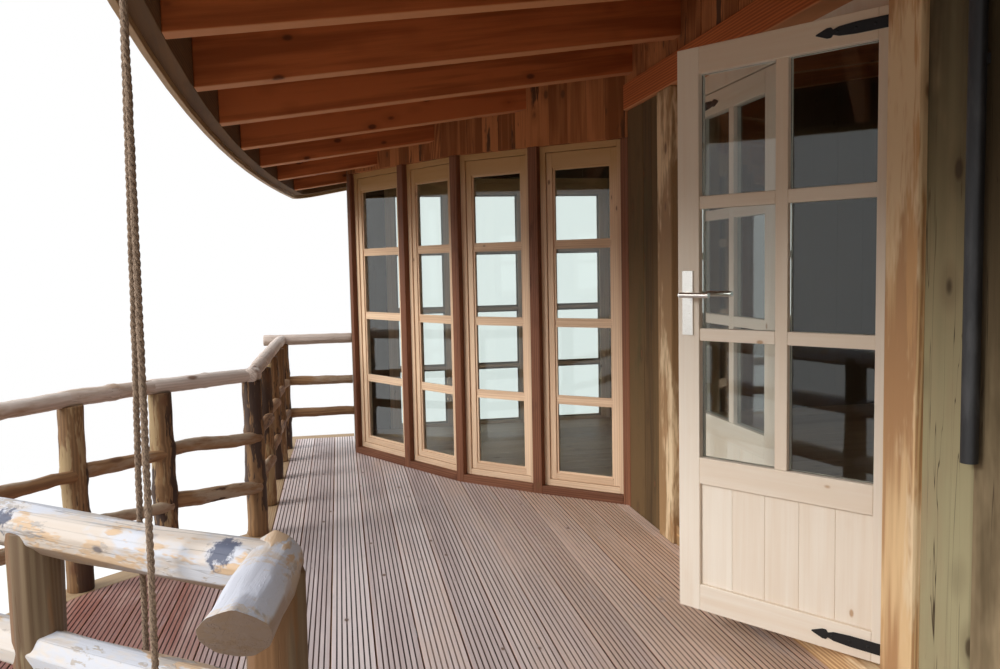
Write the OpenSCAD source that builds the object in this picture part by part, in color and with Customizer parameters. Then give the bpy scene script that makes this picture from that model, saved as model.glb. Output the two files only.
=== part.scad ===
// Tree house on log stilts: a timber cabin with a faceted window bay, a glazed double door
// and a terrace that bulges out in front of it, under one lean-to roof.
// X runs from the terrace across to the rear wall, Y along the deck boards, Z up.
// The origin is the foot of the middle stilt under the door wall, on the ground.

/* [Levels] */
// Height of the deck's walking surface above the ground
deck_z = 2500; // [1800:50:4000]
// Step from the deck up to the floor inside
floor_step = 100; // [60:5:160]
// Slope of the roof, rising from the terrace to the rear wall, degrees
roof_rise = 10.76; // [5:0.1:14]
// Fall of the roof along the building, degrees
roof_fall = 1.75; // [0:0.05:2]

/* [Cabin] */
// Y of the near end wall's outer face
cabin_near = -3000; // [-3300:50:-2700]
// Y of the far end wall's outer face
cabin_far = 3020; // [3020:10:3300]
// X of the door wall's outer face
door_wall_x = -165; // [-170:5:-120]
// X of the rear wall's outer face
rear_wall_x = 2850; // [2600:50:3200]
// Thickness of the plain walls
wall_t = 120; // [90:5:160]
// Thickness of the bay's posts and of the wall over its windows
bay_t = 90; // [75:5:110]

/* [Terrace] */
// Width of a deck board
board_w = 145; // [120:5:145]
// Gap between two deck boards
board_gap = 5; // [3:1:8]
// Thickness of a deck board
board_t = 28; // [21:1:40]
// Width of the edge beam round the deck
edge_w = 120; // [100:5:140]
// Depth of the edge beam round the deck
edge_h = 190; // [120:5:208]

/* [Stilts and floor frame] */
// Diameter of a log stilt
stilt_d = 260; // [200:10:300]
// Width of a main beam
beam_w = 160; // [120:10:200]
// Depth of a main beam
beam_h = 240; // [180:10:280]
// Width of a floor joist
joist_w = 80; // [60:5:100]
// Depth of a floor joist
joist_h = 180; // [140:10:220]
// Thickness of a knee brace
brace_t = 110; // [80:5:130]

/* [Railing] */
// Height of the top rail's centre above the deck
rail_h = 790; // [700:10:1000]
// Diameter of the top rail
rail_d = 70; // [55:1:80]
// Diameter of a railing post
post_d = 105; // [90:1:120]
// Diameter of the crooked lower rails
branch_d = 66; // [40:1:76]
// Height of the upper crooked rail above the deck
branch_high = 490; // [440:10:600]
// Height of the lower crooked rail above the deck
branch_low = 255; // [180:5:340]
// Diameter of the thick logs of the guard at the entrance
guard_d = 104; // [90:1:115]
// Diameter of the guard's posts
guard_post_d = 118; // [110:1:130]

/* [Double door] */
// Y of the doorway's near side, between the jambs
door_near = -1420; // [-1480:5:-1400]
// Y of the doorway's far side, between the jambs
door_far = 150; // [140:5:200]
// Width of the near jamb
jamb_near_w = 140; // [100:5:160]
// Width of the far jamb
jamb_far_w = 170; // [120:5:200]
// How far the jambs and the lintel stand proud of the wall
jamb_proud = 20; // [10:1:40]
// Height of the frame's head, from the leaves' gap up to the lintel
door_head_w = 75; // [50:5:120]
// Depth of the lintel
lintel_d = 130; // [100:5:160]
// Height of the wall between the lintel and the rafters, over the origin
over_door = 100; // [80:10:400]
// Gap between a leaf's bottom and the step below it
leaf_gap = 12; // [8:1:20]
// Height of a door leaf
leaf_h = 1890; // [1850:5:1900]
// Thickness of a door leaf
leaf_t = 45; // [40:1:50]
// Width of the frame round the two leaves
door_frame_w = 27; // [20:1:32]
// Gap between the leaves where they meet
meet_gap = 8; // [8:1:12]
// Gap between a leaf and the frame
side_gap = 5; // [5:1:8]
// Width of a leaf's stiles
stile_w = 82; // [70:1:100]
// Width of a leaf's top rail
top_rail_w = 88; // [70:1:100]
// Width of a leaf's lock rail
lock_rail_w = 90; // [70:1:110]
// Width of a leaf's bottom rail
bottom_rail_w = 90; // [70:1:120]
// Width of a leaf's glazing bars
bar_w = 42; // [30:1:50]
// Height of the boarded panel at the foot of a leaf
panel_h = 350; // [300:5:400]
// Thickness of that panel's boards
panel_t = 20; // [16:1:24]
// Thickness of the door's glass
glass_t = 6; // [4:1:10]
// Length of the plate behind the door handle
handle_plate_h = 215; // [180:5:240]
// Angle at which the near leaf stands open, degrees
near_open = 34.3; // [0:0.1:60]

/* [Windows] */
// Height of the bay windows' lower edge above the deck
win_low = 45; // [40:5:100]
// How far the wall over the bay windows reaches below the lintel's underside
frieze_drop = 130; // [60:5:200]
// Width of a post's face between two bay windows, each side of the corner
post_half = 30; // [26:1:45]
// Width of a window's fixed frame
frame_w = 34; // [26:1:50]
// Width of a window's sash
sash_w = 38; // [30:1:60]
// Width of a sash's top rail
sash_head_w = 86; // [50:1:110]
// Width of the bars across a bay window
win_bar_w = 26; // [20:1:36]
// Depth of a window's fixed frame
frame_depth = 54; // [44:1:60]
// Width of the windows in the plain walls
plain_win_w = 700; // [500:10:900]
// Height of the windows in the plain walls
plain_win_h = 1000; // [700:10:1100]
// Height of the plain windows' lower edge above the deck
plain_win_low = 850; // [700:10:950]
// Width of the tall windows in the far end wall
tall_win_w = 500; // [400:10:540]

/* [Roof] */
// Width of a rafter
rafter_w = 65; // [50:1:80]
// Depth of a rafter
rafter_h = 180; // [140:5:220]
// Distance between rafters, square to them
rafter_pitch = 607; // [550:1:700]
// Angle of the rafters in plan, from square across the building, degrees
rafter_turn = 14.7; // [0:0.1:20]
// Thickness of the roof boards
roof_board_t = 25; // [18:1:30]
// Thickness of the roof's weather skin
roof_skin_t = 12; // [8:1:20]
// Thickness of the bent eaves band
fascia_t = 18; // [12:1:24]
// How far the eaves band hangs below the rafters
fascia_drop = 20; // [0:1:40]
// Thickness of the blocking between the rafter ends and the eaves band
blocking_t = 50; // [35:1:60]

/* [Downpipe] */
// Diameter of the downpipe by the door
pipe_d = 40; // [30:5:100]
// Thickness of the downpipe's wall
pipe_wall = 3; // [2:0.5:5]

/* [Rope] */
// Diameter of the rope that hangs at the guard
rope_d = 14; // [10:1:20]

/* [Hidden] */
$fn = 48;
big = 12000;

// Levels worked out from the deck
joist_top = deck_z - board_t;
joist_low = joist_top - joist_h;
beam_low = joist_low - beam_h;
floor_top = deck_z + floor_step;
lintel_h = floor_step + leaf_h + side_gap + door_head_w;
win_high = lintel_h - frieze_drop;
roof_h = lintel_h + lintel_d + over_door;
// Walls are drawn up to here and then cut off under the roof
over_roof = deck_z + 2 * roof_h;
// Play between pieces that fit into each other
fit = 0.3;

// Plan of the bay: outer corners of the four windows, from the door wall to the far end, as [x, y]
bay = [[door_wall_x, 830], [-581, 1195], [-973, 1583], [-1251, 2050], [-1570, 2610]];
bay_end = [bay[4][0], cabin_far];

// Railing line round the terrace, post by post, from the entrance guard to the bay's far end
rail_line = [
    [-3150, -1010], [-3180, -480], [-2735, 185], [-2445, 470], [-2080, 780],
    [-2080, 1340], [-2080, 1960], [-2080, 2470], [-2070, 2890]
];
// The entrance guard's corner post, its middle post, and the free end of its short log
guard_corner = [-1778, -2055];
guard_mid = [-2290, -1665];
guard_end = [-1815, -2375];
rail_past = 125;
far_rail_end = [bay_end[0], rail_line[len(rail_line) - 1][1]];
deck_near = -2250;
deck_far = 3290;

function add(a, b) = [a[0] + b[0], a[1] + b[1]];
function sub(a, b) = [a[0] - b[0], a[1] - b[1]];
function scaled(a, k) = [a[0] * k, a[1] * k];
function len2(a) = sqrt(a[0] * a[0] + a[1] * a[1]);
function unit2(a) = scaled(a, 1 / len2(a));
function left_of(a) = [-a[1], a[0]];
function right_of(a) = [a[1], -a[0]];
function angle_of(a) = atan2(a[1], a[0]);

// Corners of a chain moved sideways by d, to its left, with mitred corners
function side_dir(p, i) = unit2(sub(p[i + 1], p[i]));
function mitre(p, i, d) =
    i == 0 ? add(p[0], scaled(left_of(side_dir(p, 0)), d)) :
    i == len(p) - 1 ? add(p[i], scaled(left_of(side_dir(p, i - 1)), d)) :
    let (a = left_of(side_dir(p, i - 1)), b = left_of(side_dir(p, i)), s = add(a, b))
    add(p[i], scaled(s, 2 * d / (s[0] * s[0] + s[1] * s[1])));
function moved(p, d) = [for (i = [0 : len(p) - 1]) mitre(p, i, d)];
function backwards(p) = [for (i = [len(p) - 1 : -1 : 0]) p[i]];

// A flat shape stood up between two heights
module between(z0, z1) {
    translate([0, 0, z0]) linear_extrude(z1 - z0) children();
}

// A strip along a chain, from d0 to d1 on its left side
module strip(p, d0, d1) {
    polygon(concat(moved(p, d0), backwards(moved(p, d1))));
}

// A layer of the roof, between two distances above the rafters' underside
module roof_layer(low, high) {
    translate([0, 0, deck_z + roof_h])
        rotate([-roof_fall, -roof_rise, 0])
            translate([-big / 2, -big / 2, low])
                cube([big, big, high - low]);
}

// Keeps what lies under the roof boards and clears the rafters' way
module under_roof() {
    difference() {
        intersection() {
            children();
            roof_layer(-big / 2, rafter_h);
        }
        rafter_rows();
    }
}

// Roof outline: the eaves over the terrace bow out gently and turn the far corner in an arc
roof_near = -3350;
roof_far = 3220;
roof_rear = rear_wall_x + 320;
eaves_x = -2180;
eaves_bow = 24700;
eaves_mid = -200;
roof_corner_r = 190;
eaves_steps = 16;
corner_steps = 6;
function eaves(y) = eaves_x + (y - eaves_mid) * (y - eaves_mid) / (2 * eaves_bow);
function roof_outline(d) = concat(
    [for (i = [0 : eaves_steps])
        let (y = roof_near + d + (roof_far - roof_corner_r - roof_near - d) * i / eaves_steps)
        [eaves(y) + d, y]],
    [for (i = [1 : corner_steps])
        let (a = 180 - 90 * i / corner_steps, c = [eaves(roof_far - roof_corner_r) + roof_corner_r, roof_far - roof_corner_r])
        [c[0] + (roof_corner_r - d) * cos(a), c[1] + (roof_corner_r - d) * sin(a)]],
    [[roof_rear - d, roof_far - d], [roof_rear - d, roof_near + d]]
);

// Rafters: row number 0 has its eaves end at rafter_y0
rafter_y0 = -1020;
rafter_x0 = -2100;
// The rows start this far outside the eaves and are cut to the roof's outline
rafter_back = 1000;
rafter_first = -4;
rafter_last = 6;
module rafter_rows() {
    for (i = [rafter_first : rafter_last])
        intersection() {
            translate([rafter_x0, rafter_y0, 0])
                rotate([0, 0, rafter_turn])
                    translate([-rafter_back, i * rafter_pitch - rafter_w / 2, 0])
                        cube([big, rafter_w, big]);
            between(0, big) polygon(roof_outline(fascia_t + blocking_t));
            roof_layer(0, rafter_h);
        }
}

// Log stilts, by rows, as [x, y]
stilt_rows_terrace = [[-1800, -1600], [-1800, 500], [-1800, 2800], [-2800, -1000], [-2800, -100]];
stilt_rows_door = [[0, -2600], [0, 0], [0, 2600]];
stilt_rows_rear = [[rear_wall_x - 300, -2600], [rear_wall_x - 300, 0], [rear_wall_x - 300, 2600]];
module stilt(p) {
    translate([p[0], p[1], 0]) cylinder(d = stilt_d, h = beam_low);
}
module stilts_terrace() { color("tan") for (p = stilt_rows_terrace) stilt(p); }
module stilts_cabin() { color("tan") for (p = concat(stilt_rows_door, stilt_rows_rear)) stilt(p); }

// Main beams lie on the stilts and run along the building, as [x, y from, y to]
beam_ends = [
    [-2800, -1150, 60], [-1800, -1850, deck_far - 150], [0, cabin_near + 50, cabin_far - 50],
    [rear_wall_x - 300, cabin_near + 50, cabin_far - 50]
];
module main_beams() {
    color("burlywood")
        for (b = beam_ends)
            translate([b[0] - beam_w / 2, b[1], beam_low])
                cube([beam_w, b[2] - b[1], beam_h]);
}

// A knee brace from a stilt up to its beam, leaning along Y towards way (1 or -1)
brace_reach = 650;
module knee_brace(p, way) {
    difference() {
        translate([p[0], p[1], beam_low - brace_reach])
            rotate([-45 * way, 0, 0])
                translate([-brace_t / 2, -brace_t / 2, 0])
                    cube([brace_t, brace_t, brace_reach * 2]);
        stilt(p);
        translate([p[0] - big / 2, p[1] - big / 2, beam_low]) cube([big, big, big]);
        translate([p[0] - big / 2, way > 0 ? p[1] - big : p[1], 0]) cube([big, big, big]);
    }
}
module knee_braces() {
    color("burlywood") {
        knee_brace(stilt_rows_door[0], 1);
        knee_brace(stilt_rows_door[1], 1);
        knee_brace(stilt_rows_door[1], -1);
        knee_brace(stilt_rows_door[2], -1);
        knee_brace(stilt_rows_rear[0], 1);
        knee_brace(stilt_rows_rear[1], 1);
        knee_brace(stilt_rows_rear[1], -1);
        knee_brace(stilt_rows_rear[2], -1);
        knee_brace(stilt_rows_terrace[0], 1);
        knee_brace(stilt_rows_terrace[1], 1);
        knee_brace(stilt_rows_terrace[1], -1);
        knee_brace(stilt_rows_terrace[2], -1);
    }
}

// Edge of the terrace: the chain along which the railing and the edge beam run
entry_x = -1650;
edge_line = concat([[door_wall_x, deck_near + edge_w / 2], [entry_x, deck_near + edge_w / 2], guard_corner, guard_mid],
    rail_line, [[rail_line[len(rail_line) - 1][0], deck_far], [bay_end[0], deck_far]]);
inner_edge = moved(edge_line, -edge_w / 2);

// Ground plan of the terrace inside its edge beam, up to the cabin's outer walls
module deck_plan() {
    polygon(concat(inner_edge, [[bay_end[0], cabin_far], bay[4], bay[3], bay[2], bay[1], bay[0]]));
}

// Chain of the bay's outer faces, run on into the walls at both its ends
bay_chain = [[door_wall_x, 0], bay[0], bay[1], bay[2], bay[3], bay[4], bay_end];
bay_in = moved(bay_chain, -bay_t);

// Ground plan of the room, a little clear of the walls
module room_plan() {
    side = moved(bay_chain, -bay_t - fit);
    polygon([
        [door_wall_x + wall_t + fit, cabin_near + wall_t + fit], [rear_wall_x - wall_t - fit, cabin_near + wall_t + fit],
        [rear_wall_x - wall_t - fit, cabin_far - wall_t - fit], [bay_end[0] + bay_t + fit, cabin_far - wall_t - fit],
        side[5], side[4], side[3], side[2], side[1],
        [door_wall_x + bay_t + fit, bay[0][1] - post_half + fit], [door_wall_x + wall_t + fit, bay[0][1] - post_half + fit]
    ]);
}

// Joists lie across the main beams, under the deck and the cabin
module joist_plan() {
    polygon(concat(moved(edge_line, -edge_w / 2),
        [[bay_end[0], cabin_far - 30], [rear_wall_x, cabin_far - 30], [rear_wall_x, cabin_near + 30],
         [door_wall_x + 60, cabin_near + 30]]));
}
joist_first = cabin_near + 40;
joist_count = 11;
joist_pitch = (cabin_far - 40 - joist_w - joist_first) / (joist_count - 1);
module floor_joists() {
    color("burlywood")
        intersection() {
            between(joist_low, joist_top) joist_plan();
            for (i = [0 : joist_count - 1])
                translate([-big / 2, joist_first + i * joist_pitch, 0])
                    cube([big, joist_w, big]);
        }
}

// Deck boards run along Y
board_x0 = -3217;
board_count = 21;
module deck_boards() {
    color("peru")
        intersection() {
            between(joist_top, deck_z) deck_plan();
            for (i = [0 : board_count - 1])
                translate([board_x0 + i * (board_w + board_gap), -big / 2, 0])
                    cube([board_w, big, big]);
        }
}

module deck_edge_beam() {
    color("sandybrown") between(deck_z - edge_h, deck_z) strip(edge_line, -edge_w / 2, edge_w / 2);
}

// A bar with flat facets along points [x, y, z], its radius given at each point. The facets start
// from the direction square to ref; where a level bar turns, its two runs meet in a mitre.
function unit3(a) = a / norm(a);
function run_in(p, i) = unit3(p[max(i, 1)] - p[max(i, 1) - 1]);
function run_out(p, i) = unit3(p[min(i, len(p) - 2) + 1] - p[min(i, len(p) - 2)]);
function ring_point(p, r, ref, i, angle) =
    let (
        d = unit3(run_in(p, i) + run_out(p, i)),
        side = unit3(cross(ref, d)),
        up = cross(d, side),
        stretch = 1 / max(0.7, run_in(p, i) * d)
    )
    p[i] + side * (r[i] * cos(angle) * stretch) + up * (r[i] * sin(angle));
module bar_along(p, r, ref, sides) {
    n = len(p);
    polyhedron(
        [for (i = [0 : n - 1], k = [0 : sides - 1]) ring_point(p, r, ref, i, 360 * (k + 0.5) / sides)],
        concat(
            [[for (k = [0 : sides - 1]) k]],
            [for (i = [0 : n - 2], k = [0 : sides - 1])
                [i * sides + k, (i + 1) * sides + k, (i + 1) * sides + (k + 1) % sides]],
            [for (i = [0 : n - 2], k = [0 : sides - 1])
                [i * sides + k, (i + 1) * sides + (k + 1) % sides, i * sides + (k + 1) % sides]],
            [[for (k = [sides - 1 : -1 : 0]) (n - 1) * sides + k]]));
}
function at_height(p, z) = [p[0], p[1], deck_z + z];

// Railing of round wood; the top rail is a touch flat underneath and rests on the posts
rail_sides = 16;
rail_under = rail_h - rail_d / 2 * cos(180 / rail_sides);
last_post = len(rail_line) - 1;
rail_corner = rail_line[last_post];
rail_points = [for (i = [0 : last_post]) at_height(i < last_post ? rail_line[i] : sub(rail_corner, [0, rail_d / 2]), rail_h)];
module railing_top_rails() {
    color("tan") {
        bar_along(rail_points, [for (p = rail_points) rail_d / 2], [0, 0, 1], rail_sides);
        // The rail across the far end runs past its corner post and ends at the bay
        bar_along([at_height(sub(rail_corner, [rail_past, 0]), rail_h), at_height(far_rail_end, rail_h)],
            [rail_d / 2, rail_d / 2], [0, 0, 1], rail_sides);
    }
}
post_sides = 14;
module post_body(p, top) {
    translate([p[0], p[1], deck_z])
        linear_extrude(top)
            polygon([for (k = [0 : post_sides - 1]) [cos(360 * k / post_sides), sin(360 * k / post_sides)] * post_d / 2]);
}
module railing_posts() {
    color("tan") for (p = rail_line) post_body(p, rail_under);
}
// The two lower rails between each pair of posts are crooked branches, thicker at one end
branch_heights = [branch_low, branch_high];
branch_steps = 6;
branch_taper = 5;
function bend(i, k, t) = [
    10 * sin(180 * t) * sin(97 * i + 131 * k) + 5 * sin(360 * t) * cos(71 * i + 50 * k),
    17 * sin(180 * t) * cos(83 * i + 149 * k) + 8 * sin(360 * t) * sin(59 * i + 40 * k)
];
function branch_point(i, k, t) =
    let (b = bend(i, k, t), d = side_dir(rail_line, i), p = add(rail_line[i], scaled(sub(rail_line[i + 1], rail_line[i]), t)))
    at_height(add(p, scaled(left_of(d), b[0])), branch_heights[k] + b[1]);
module railing_branch_rails() {
    color("burlywood")
        for (i = [0 : last_post - 1], k = [0, 1])
            difference() {
                bar_along(
                    [for (j = [0 : branch_steps]) branch_point(i, k, j / branch_steps)],
                    [for (j = [0 : branch_steps])
                        branch_d / 2 - branch_taper * (((i + k) % 2) == 0 ? j / branch_steps : 1 - j / branch_steps)],
                    [0, 0, 1], 12);
                post_body(rail_line[i], rail_under);
                post_body(rail_line[i + 1], rail_under);
            }
    // Two more close the far end, between the corner post and the bay
    color("burlywood")
        for (h = branch_heights)
            difference() {
                bar_along([at_height(rail_corner, h), at_height(far_rail_end, h)],
                    [branch_d / 2, branch_d / 2 - branch_taper], [0, 0, 1], 12);
                post_body(rail_corner, rail_under);
            }
}

// The guard of thick logs beside the entrance
guard_h = 770;
guard_low_h = [220, 510];
module guard_post_bodies() {
    for (p = [guard_corner, guard_mid])
        translate([p[0], p[1], deck_z]) cylinder(d = guard_post_d, h = guard_h);
}
module log_between(a, b, h, d) {
    run = sub(b, a);
    translate(at_height(a, h)) rotate([0, 0, angle_of(run)]) rotate([0, 90, 0]) cylinder(d = d, h = len2(run));
}
module guard_short_log() {
    log_between(add(guard_corner, [0, 60]), guard_end, guard_h, guard_d);
}
module guard_long_log() {
    log_between(guard_corner, guard_stop, guard_h, guard_d);
}
// The guard's logs end with a flat face at the first post of the railing
guard_stop = sub(rail_line[0], scaled(unit2(sub(rail_line[0], guard_corner)), post_d / 2));
module guard_logs() {
    color("wheat") {
        difference() {
            guard_long_log();
            guard_short_log();
        }
        guard_short_log();
        difference() {
            for (h = guard_low_h) log_between(guard_corner, guard_stop, h, guard_d);
            guard_post_bodies();
        }
    }
}
module guard_posts() {
    color("wheat")
        difference() {
            guard_post_bodies();
            guard_short_log();
            guard_long_log();
        }
}

module cabin_floor() {
    color("peru")
        between(joist_top, floor_top) room_plan();
}

// Plain walls
module wall_block(x0, x1, y0, y1, z0, z1) {
    translate([x0, y0, z0]) cube([x1 - x0, y1 - y0, z1 - z0]);
}
module door_wall_near() {
    color("olivedrab")
        under_roof()
            wall_block(door_wall_x, door_wall_x + wall_t, cabin_near + wall_t, door_near - jamb_near_w, joist_top, over_roof);
}
module door_wall_far() {
    color("saddlebrown")
        wall_block(door_wall_x, door_wall_x + wall_t, door_far + jamb_far_w, bay[0][1] - post_half,
            joist_top, deck_z + lintel_h);
}
module wall_over_door() {
    color("saddlebrown")
        under_roof()
            wall_block(door_wall_x, door_wall_x + wall_t, door_near - jamb_near_w, bay[0][1] - post_half,
                deck_z + lintel_h + lintel_d, over_roof);
}
module jamb(y0, y1) {
    wall_block(door_wall_x, door_wall_x + wall_t, y0, y1, joist_top, deck_z + lintel_h);
    wall_block(door_wall_x - jamb_proud, door_wall_x + 1, y0, y1, deck_z, deck_z + lintel_h);
}
module door_jambs() {
    color("chocolate") {
        jamb(door_near - jamb_near_w, door_near);
        jamb(door_far, door_far + jamb_far_w);
    }
}
module lintel() {
    color("chocolate")
        wall_block(door_wall_x - jamb_proud, door_wall_x + wall_t, door_near - jamb_near_w, bay[0][1] - post_half,
            deck_z + lintel_h, deck_z + lintel_h + lintel_d);
}

// Doorway: the leaves hang in a slim frame, set back behind the jambs
leaf_bottom = floor_top;
leaf_x = door_wall_x + wall_t - leaf_t;
leaf_top = leaf_bottom + leaf_h;
step_top = floor_top - leaf_gap;
module threshold() {
    color("sienna") wall_block(door_wall_x, door_wall_x + wall_t, door_near, door_far, joist_top, step_top);
}
module door_frame() {
    color("wheat")
        difference() {
            wall_block(leaf_x, door_wall_x + wall_t, door_near, door_far, step_top, deck_z + lintel_h);
            wall_block(leaf_x - 20, door_wall_x + wall_t + 10, door_near + door_frame_w, door_far - door_frame_w,
                step_top - 1, leaf_top + side_gap);
        }
}
clear_w = door_far - door_near - 2 * door_frame_w;
leaf_w = (clear_w - 2 * side_gap - meet_gap) / 2;
pin_out = 10;
pin_near = [leaf_x - pin_out, door_near + door_frame_w];
pin_far = [leaf_x - pin_out, door_far - door_frame_w];
strap_in = 45;
strap_heights = [strap_in, leaf_h - strap_in];
pin_r = 8;
barrel_h = 26;
barrel_gap = 1;

// A leaf lies closed from its pin towards +Y; the far leaf is its mirror image.
// Its panes are three rows of two, and place_panes sets something at each one's lower corner.
pane_low = bottom_rail_w + panel_h + lock_rail_w;
pane_h = (leaf_h - top_rail_w - pane_low - 2 * bar_w) / 3;
pane_w = (leaf_w - 2 * stile_w - bar_w) / 2;
module place_panes() {
    for (i = [0 : 2], j = [0, 1])
        translate([pin_out, side_gap + stile_w + j * (pane_w + bar_w), pane_low + i * (pane_h + bar_w)])
            children();
}
module leaf_solid_frame() {
    difference() {
        translate([pin_out, side_gap, 0]) cube([leaf_t, leaf_w, leaf_h]);
        translate([pin_out - 1, side_gap + stile_w, bottom_rail_w])
            cube([leaf_t + 2, leaf_w - 2 * stile_w, panel_h]);
        place_panes() translate([-1, 0, 0]) cube([leaf_t + 2, pane_w, pane_h]);
    }
}
module leaf_glass() {
    place_panes() translate([leaf_t / 2, 0, 0]) cube([glass_t, pane_w, pane_h]);
}
module leaf_panel() {
    translate([pin_out + leaf_t / 2 - panel_t / 2, side_gap + stile_w, bottom_rail_w])
        cube([panel_t, leaf_w - 2 * stile_w, panel_h]);
}
strap_len = 270;
strap_w = 34;
strap_t = 4;
module leaf_straps() {
    for (z = strap_heights) {
        translate([pin_out - strap_t, 0, z - strap_w / 2]) cube([strap_t, strap_len, strap_w]);
        translate([0, 0, z - strap_w / 2]) cylinder(r = pin_r, h = strap_w);
    }
}
module near_place() {
    translate([pin_near[0], pin_near[1], leaf_bottom]) rotate([0, 0, near_open]) children();
}
module far_place() {
    translate([pin_far[0], pin_far[1], leaf_bottom]) mirror([0, 1, 0]) children();
}
// Lever handle with a long plate on both faces of the leaf
handle_plate_w = 40;
handle_plate_t = 6;
handle_low = leaf_h / 2;
lever_d = 18;
lever_out = 50;
lever_len = 110;
module handle() {
    middle = side_gap + leaf_w - stile_w / 2;
    lever_z = handle_low + handle_plate_h * 0.63;
    for (side = [0, 1])
        translate([side == 0 ? pin_out : pin_out + leaf_t, middle, 0])
            mirror([side, 0, 0]) {
                translate([-handle_plate_t, -handle_plate_w / 2, handle_low])
                    cube([handle_plate_t, handle_plate_w, handle_plate_h]);
                translate([-lever_out, 0, lever_z]) rotate([0, 90, 0]) cylinder(d = lever_d, h = lever_out - handle_plate_t);
                translate([-lever_out, 0, lever_z]) rotate([90, 0, 0]) cylinder(d = lever_d, h = lever_len);
            }
}
module near_leaf_frame() { color("wheat") near_place() leaf_solid_frame(); }
module near_leaf_panel() { color("wheat") near_place() leaf_panel(); }
module near_leaf_glass() { color("lightcyan") near_place() leaf_glass(); }
module near_leaf_straps() { color("black") near_place() leaf_straps(); }
module near_leaf_handle() { color("silver") near_place() handle(); }
module far_leaf_frame() { color("wheat") far_place() leaf_solid_frame(); }
module far_leaf_panel() { color("wheat") far_place() leaf_panel(); }
module far_leaf_glass() { color("lightcyan") far_place() leaf_glass(); }
module far_leaf_straps() { color("black") far_place() leaf_straps(); }

// Each strap turns on a pintle below it, on a small plate on the door frame
module pintles() {
    for (z = strap_heights)
        translate([0, 0, z - strap_w / 2 - barrel_gap - barrel_h]) {
            cylinder(r = pin_r, h = barrel_h);
            translate([pin_out - strap_t, 2 - door_frame_w, 0]) cube([strap_t, door_frame_w - 2, barrel_h]);
        }
}
module door_pintles() {
    color("black") {
        translate([pin_near[0], pin_near[1], leaf_bottom]) pintles();
        far_place() pintles();
    }
}

// Bay: each window has its own straight facet of the chain
function facet_len(i) = len2(sub(bay[i + 1], bay[i]));
module on_facet(i) {
    translate([bay[i][0], bay[i][1], deck_z])
        rotate([0, 0, angle_of(sub(bay[i + 1], bay[i]))])
            children();
}
module bay_post(i) {
    a = side_dir(bay_chain, i);
    b = side_dir(bay_chain, i + 1);
    c = bay_chain[i + 1];
    polygon([
        sub(c, scaled(a, post_half)), c, add(c, scaled(b, post_half)),
        add(add(c, scaled(b, post_half)), scaled(right_of(b), bay_t)), bay_in[i + 1],
        add(sub(c, scaled(a, post_half)), scaled(right_of(a), bay_t))
    ]);
}
module bay_posts() {
    color("sienna")
        for (i = [0 : 4])
            between(joist_top, deck_z + win_high) bay_post(i);
}
module bay_base() {
    color("peru")
        for (i = [0 : 3])
            on_facet(i)
                translate([post_half + fit, fit - bay_t, joist_top - deck_z])
                    cube([facet_len(i) - 2 * (post_half + fit), bay_t - fit, win_low + board_t]);
}
// A window of size w by h with its sash, behind the plane y = 0, and a number of bars across
rim = frame_w + sash_w;
head_rim = frame_w + sash_head_w;
sash_set = 8;
win_bar_t = 28;
win_glass_t = 8;
function win_pane_h(h, bars) = (h - rim - head_rim - bars * win_bar_w) / (bars + 1);
function pane_foot(h, bars, i) = rim + i * (win_pane_h(h, bars) + win_bar_w);
module window_frame(w, h, bars) {
    difference() {
        translate([0, -frame_depth, 0]) cube([w, frame_depth, h]);
        translate([rim, -frame_depth - 1, rim]) cube([w - 2 * rim, frame_depth + 2, h - rim - head_rim]);
        translate([frame_w, -sash_set, frame_w]) cube([w - 2 * frame_w, sash_set + 1, h - 2 * frame_w]);
    }
    for (i = [1 : bars])
        translate([rim, -(frame_depth + sash_set + win_bar_t) / 2, pane_foot(h, bars, i) - win_bar_w])
            cube([w - 2 * rim, win_bar_t, win_bar_w]);
}
module window_glass(w, h, bars) {
    for (i = [0 : bars])
        translate([rim + fit, -(frame_depth + sash_set + win_glass_t) / 2, pane_foot(h, bars, i) + fit])
            cube([w - 2 * (rim + fit), win_glass_t, win_pane_h(h, bars) - 2 * fit]);
}
bay_set = bay_t - frame_depth;
module bay_window_frames() {
    color("tan")
        for (i = [0 : 3])
            on_facet(i)
                translate([post_half + fit, -bay_set, win_low])
                    window_frame(facet_len(i) - 2 * (post_half + fit), win_high - win_low - fit, 3);
}
module bay_window_glass() {
    color("lightcyan")
        for (i = [0 : 3])
            on_facet(i)
                translate([post_half + fit, -bay_set, win_low])
                    window_glass(facet_len(i) - 2 * (post_half + fit), win_high - win_low - fit, 3);
}
module bay_frieze_wall() {
    color("peru")
        under_roof()
            between(deck_z + win_high, over_roof)
                polygon(concat(
                    [sub(bay[0], [0, post_half])], bay, [[bay_end[0], bay[4][1] + post_half]],
                    backwards(bay_inner)));
}
bay_inner = [
    [door_wall_x + bay_t, bay[0][1] - post_half],
    bay_in[1], bay_in[2], bay_in[3], bay_in[4], bay_in[5],
    [bay_end[0] + bay_t, bay[4][1] + post_half]
];
module bay_return_wall() {
    color("peru")
        under_roof()
            wall_block(bay_end[0], bay_end[0] + bay_t, bay[4][1] + post_half, cabin_far - wall_t,
                joist_top, over_roof);
}

// Windows of the plain walls, as the place of each one's near lower corner
rear_windows_y = [-2300, -950, 350, 1700];
near_windows_x = [350, 1700];
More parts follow.
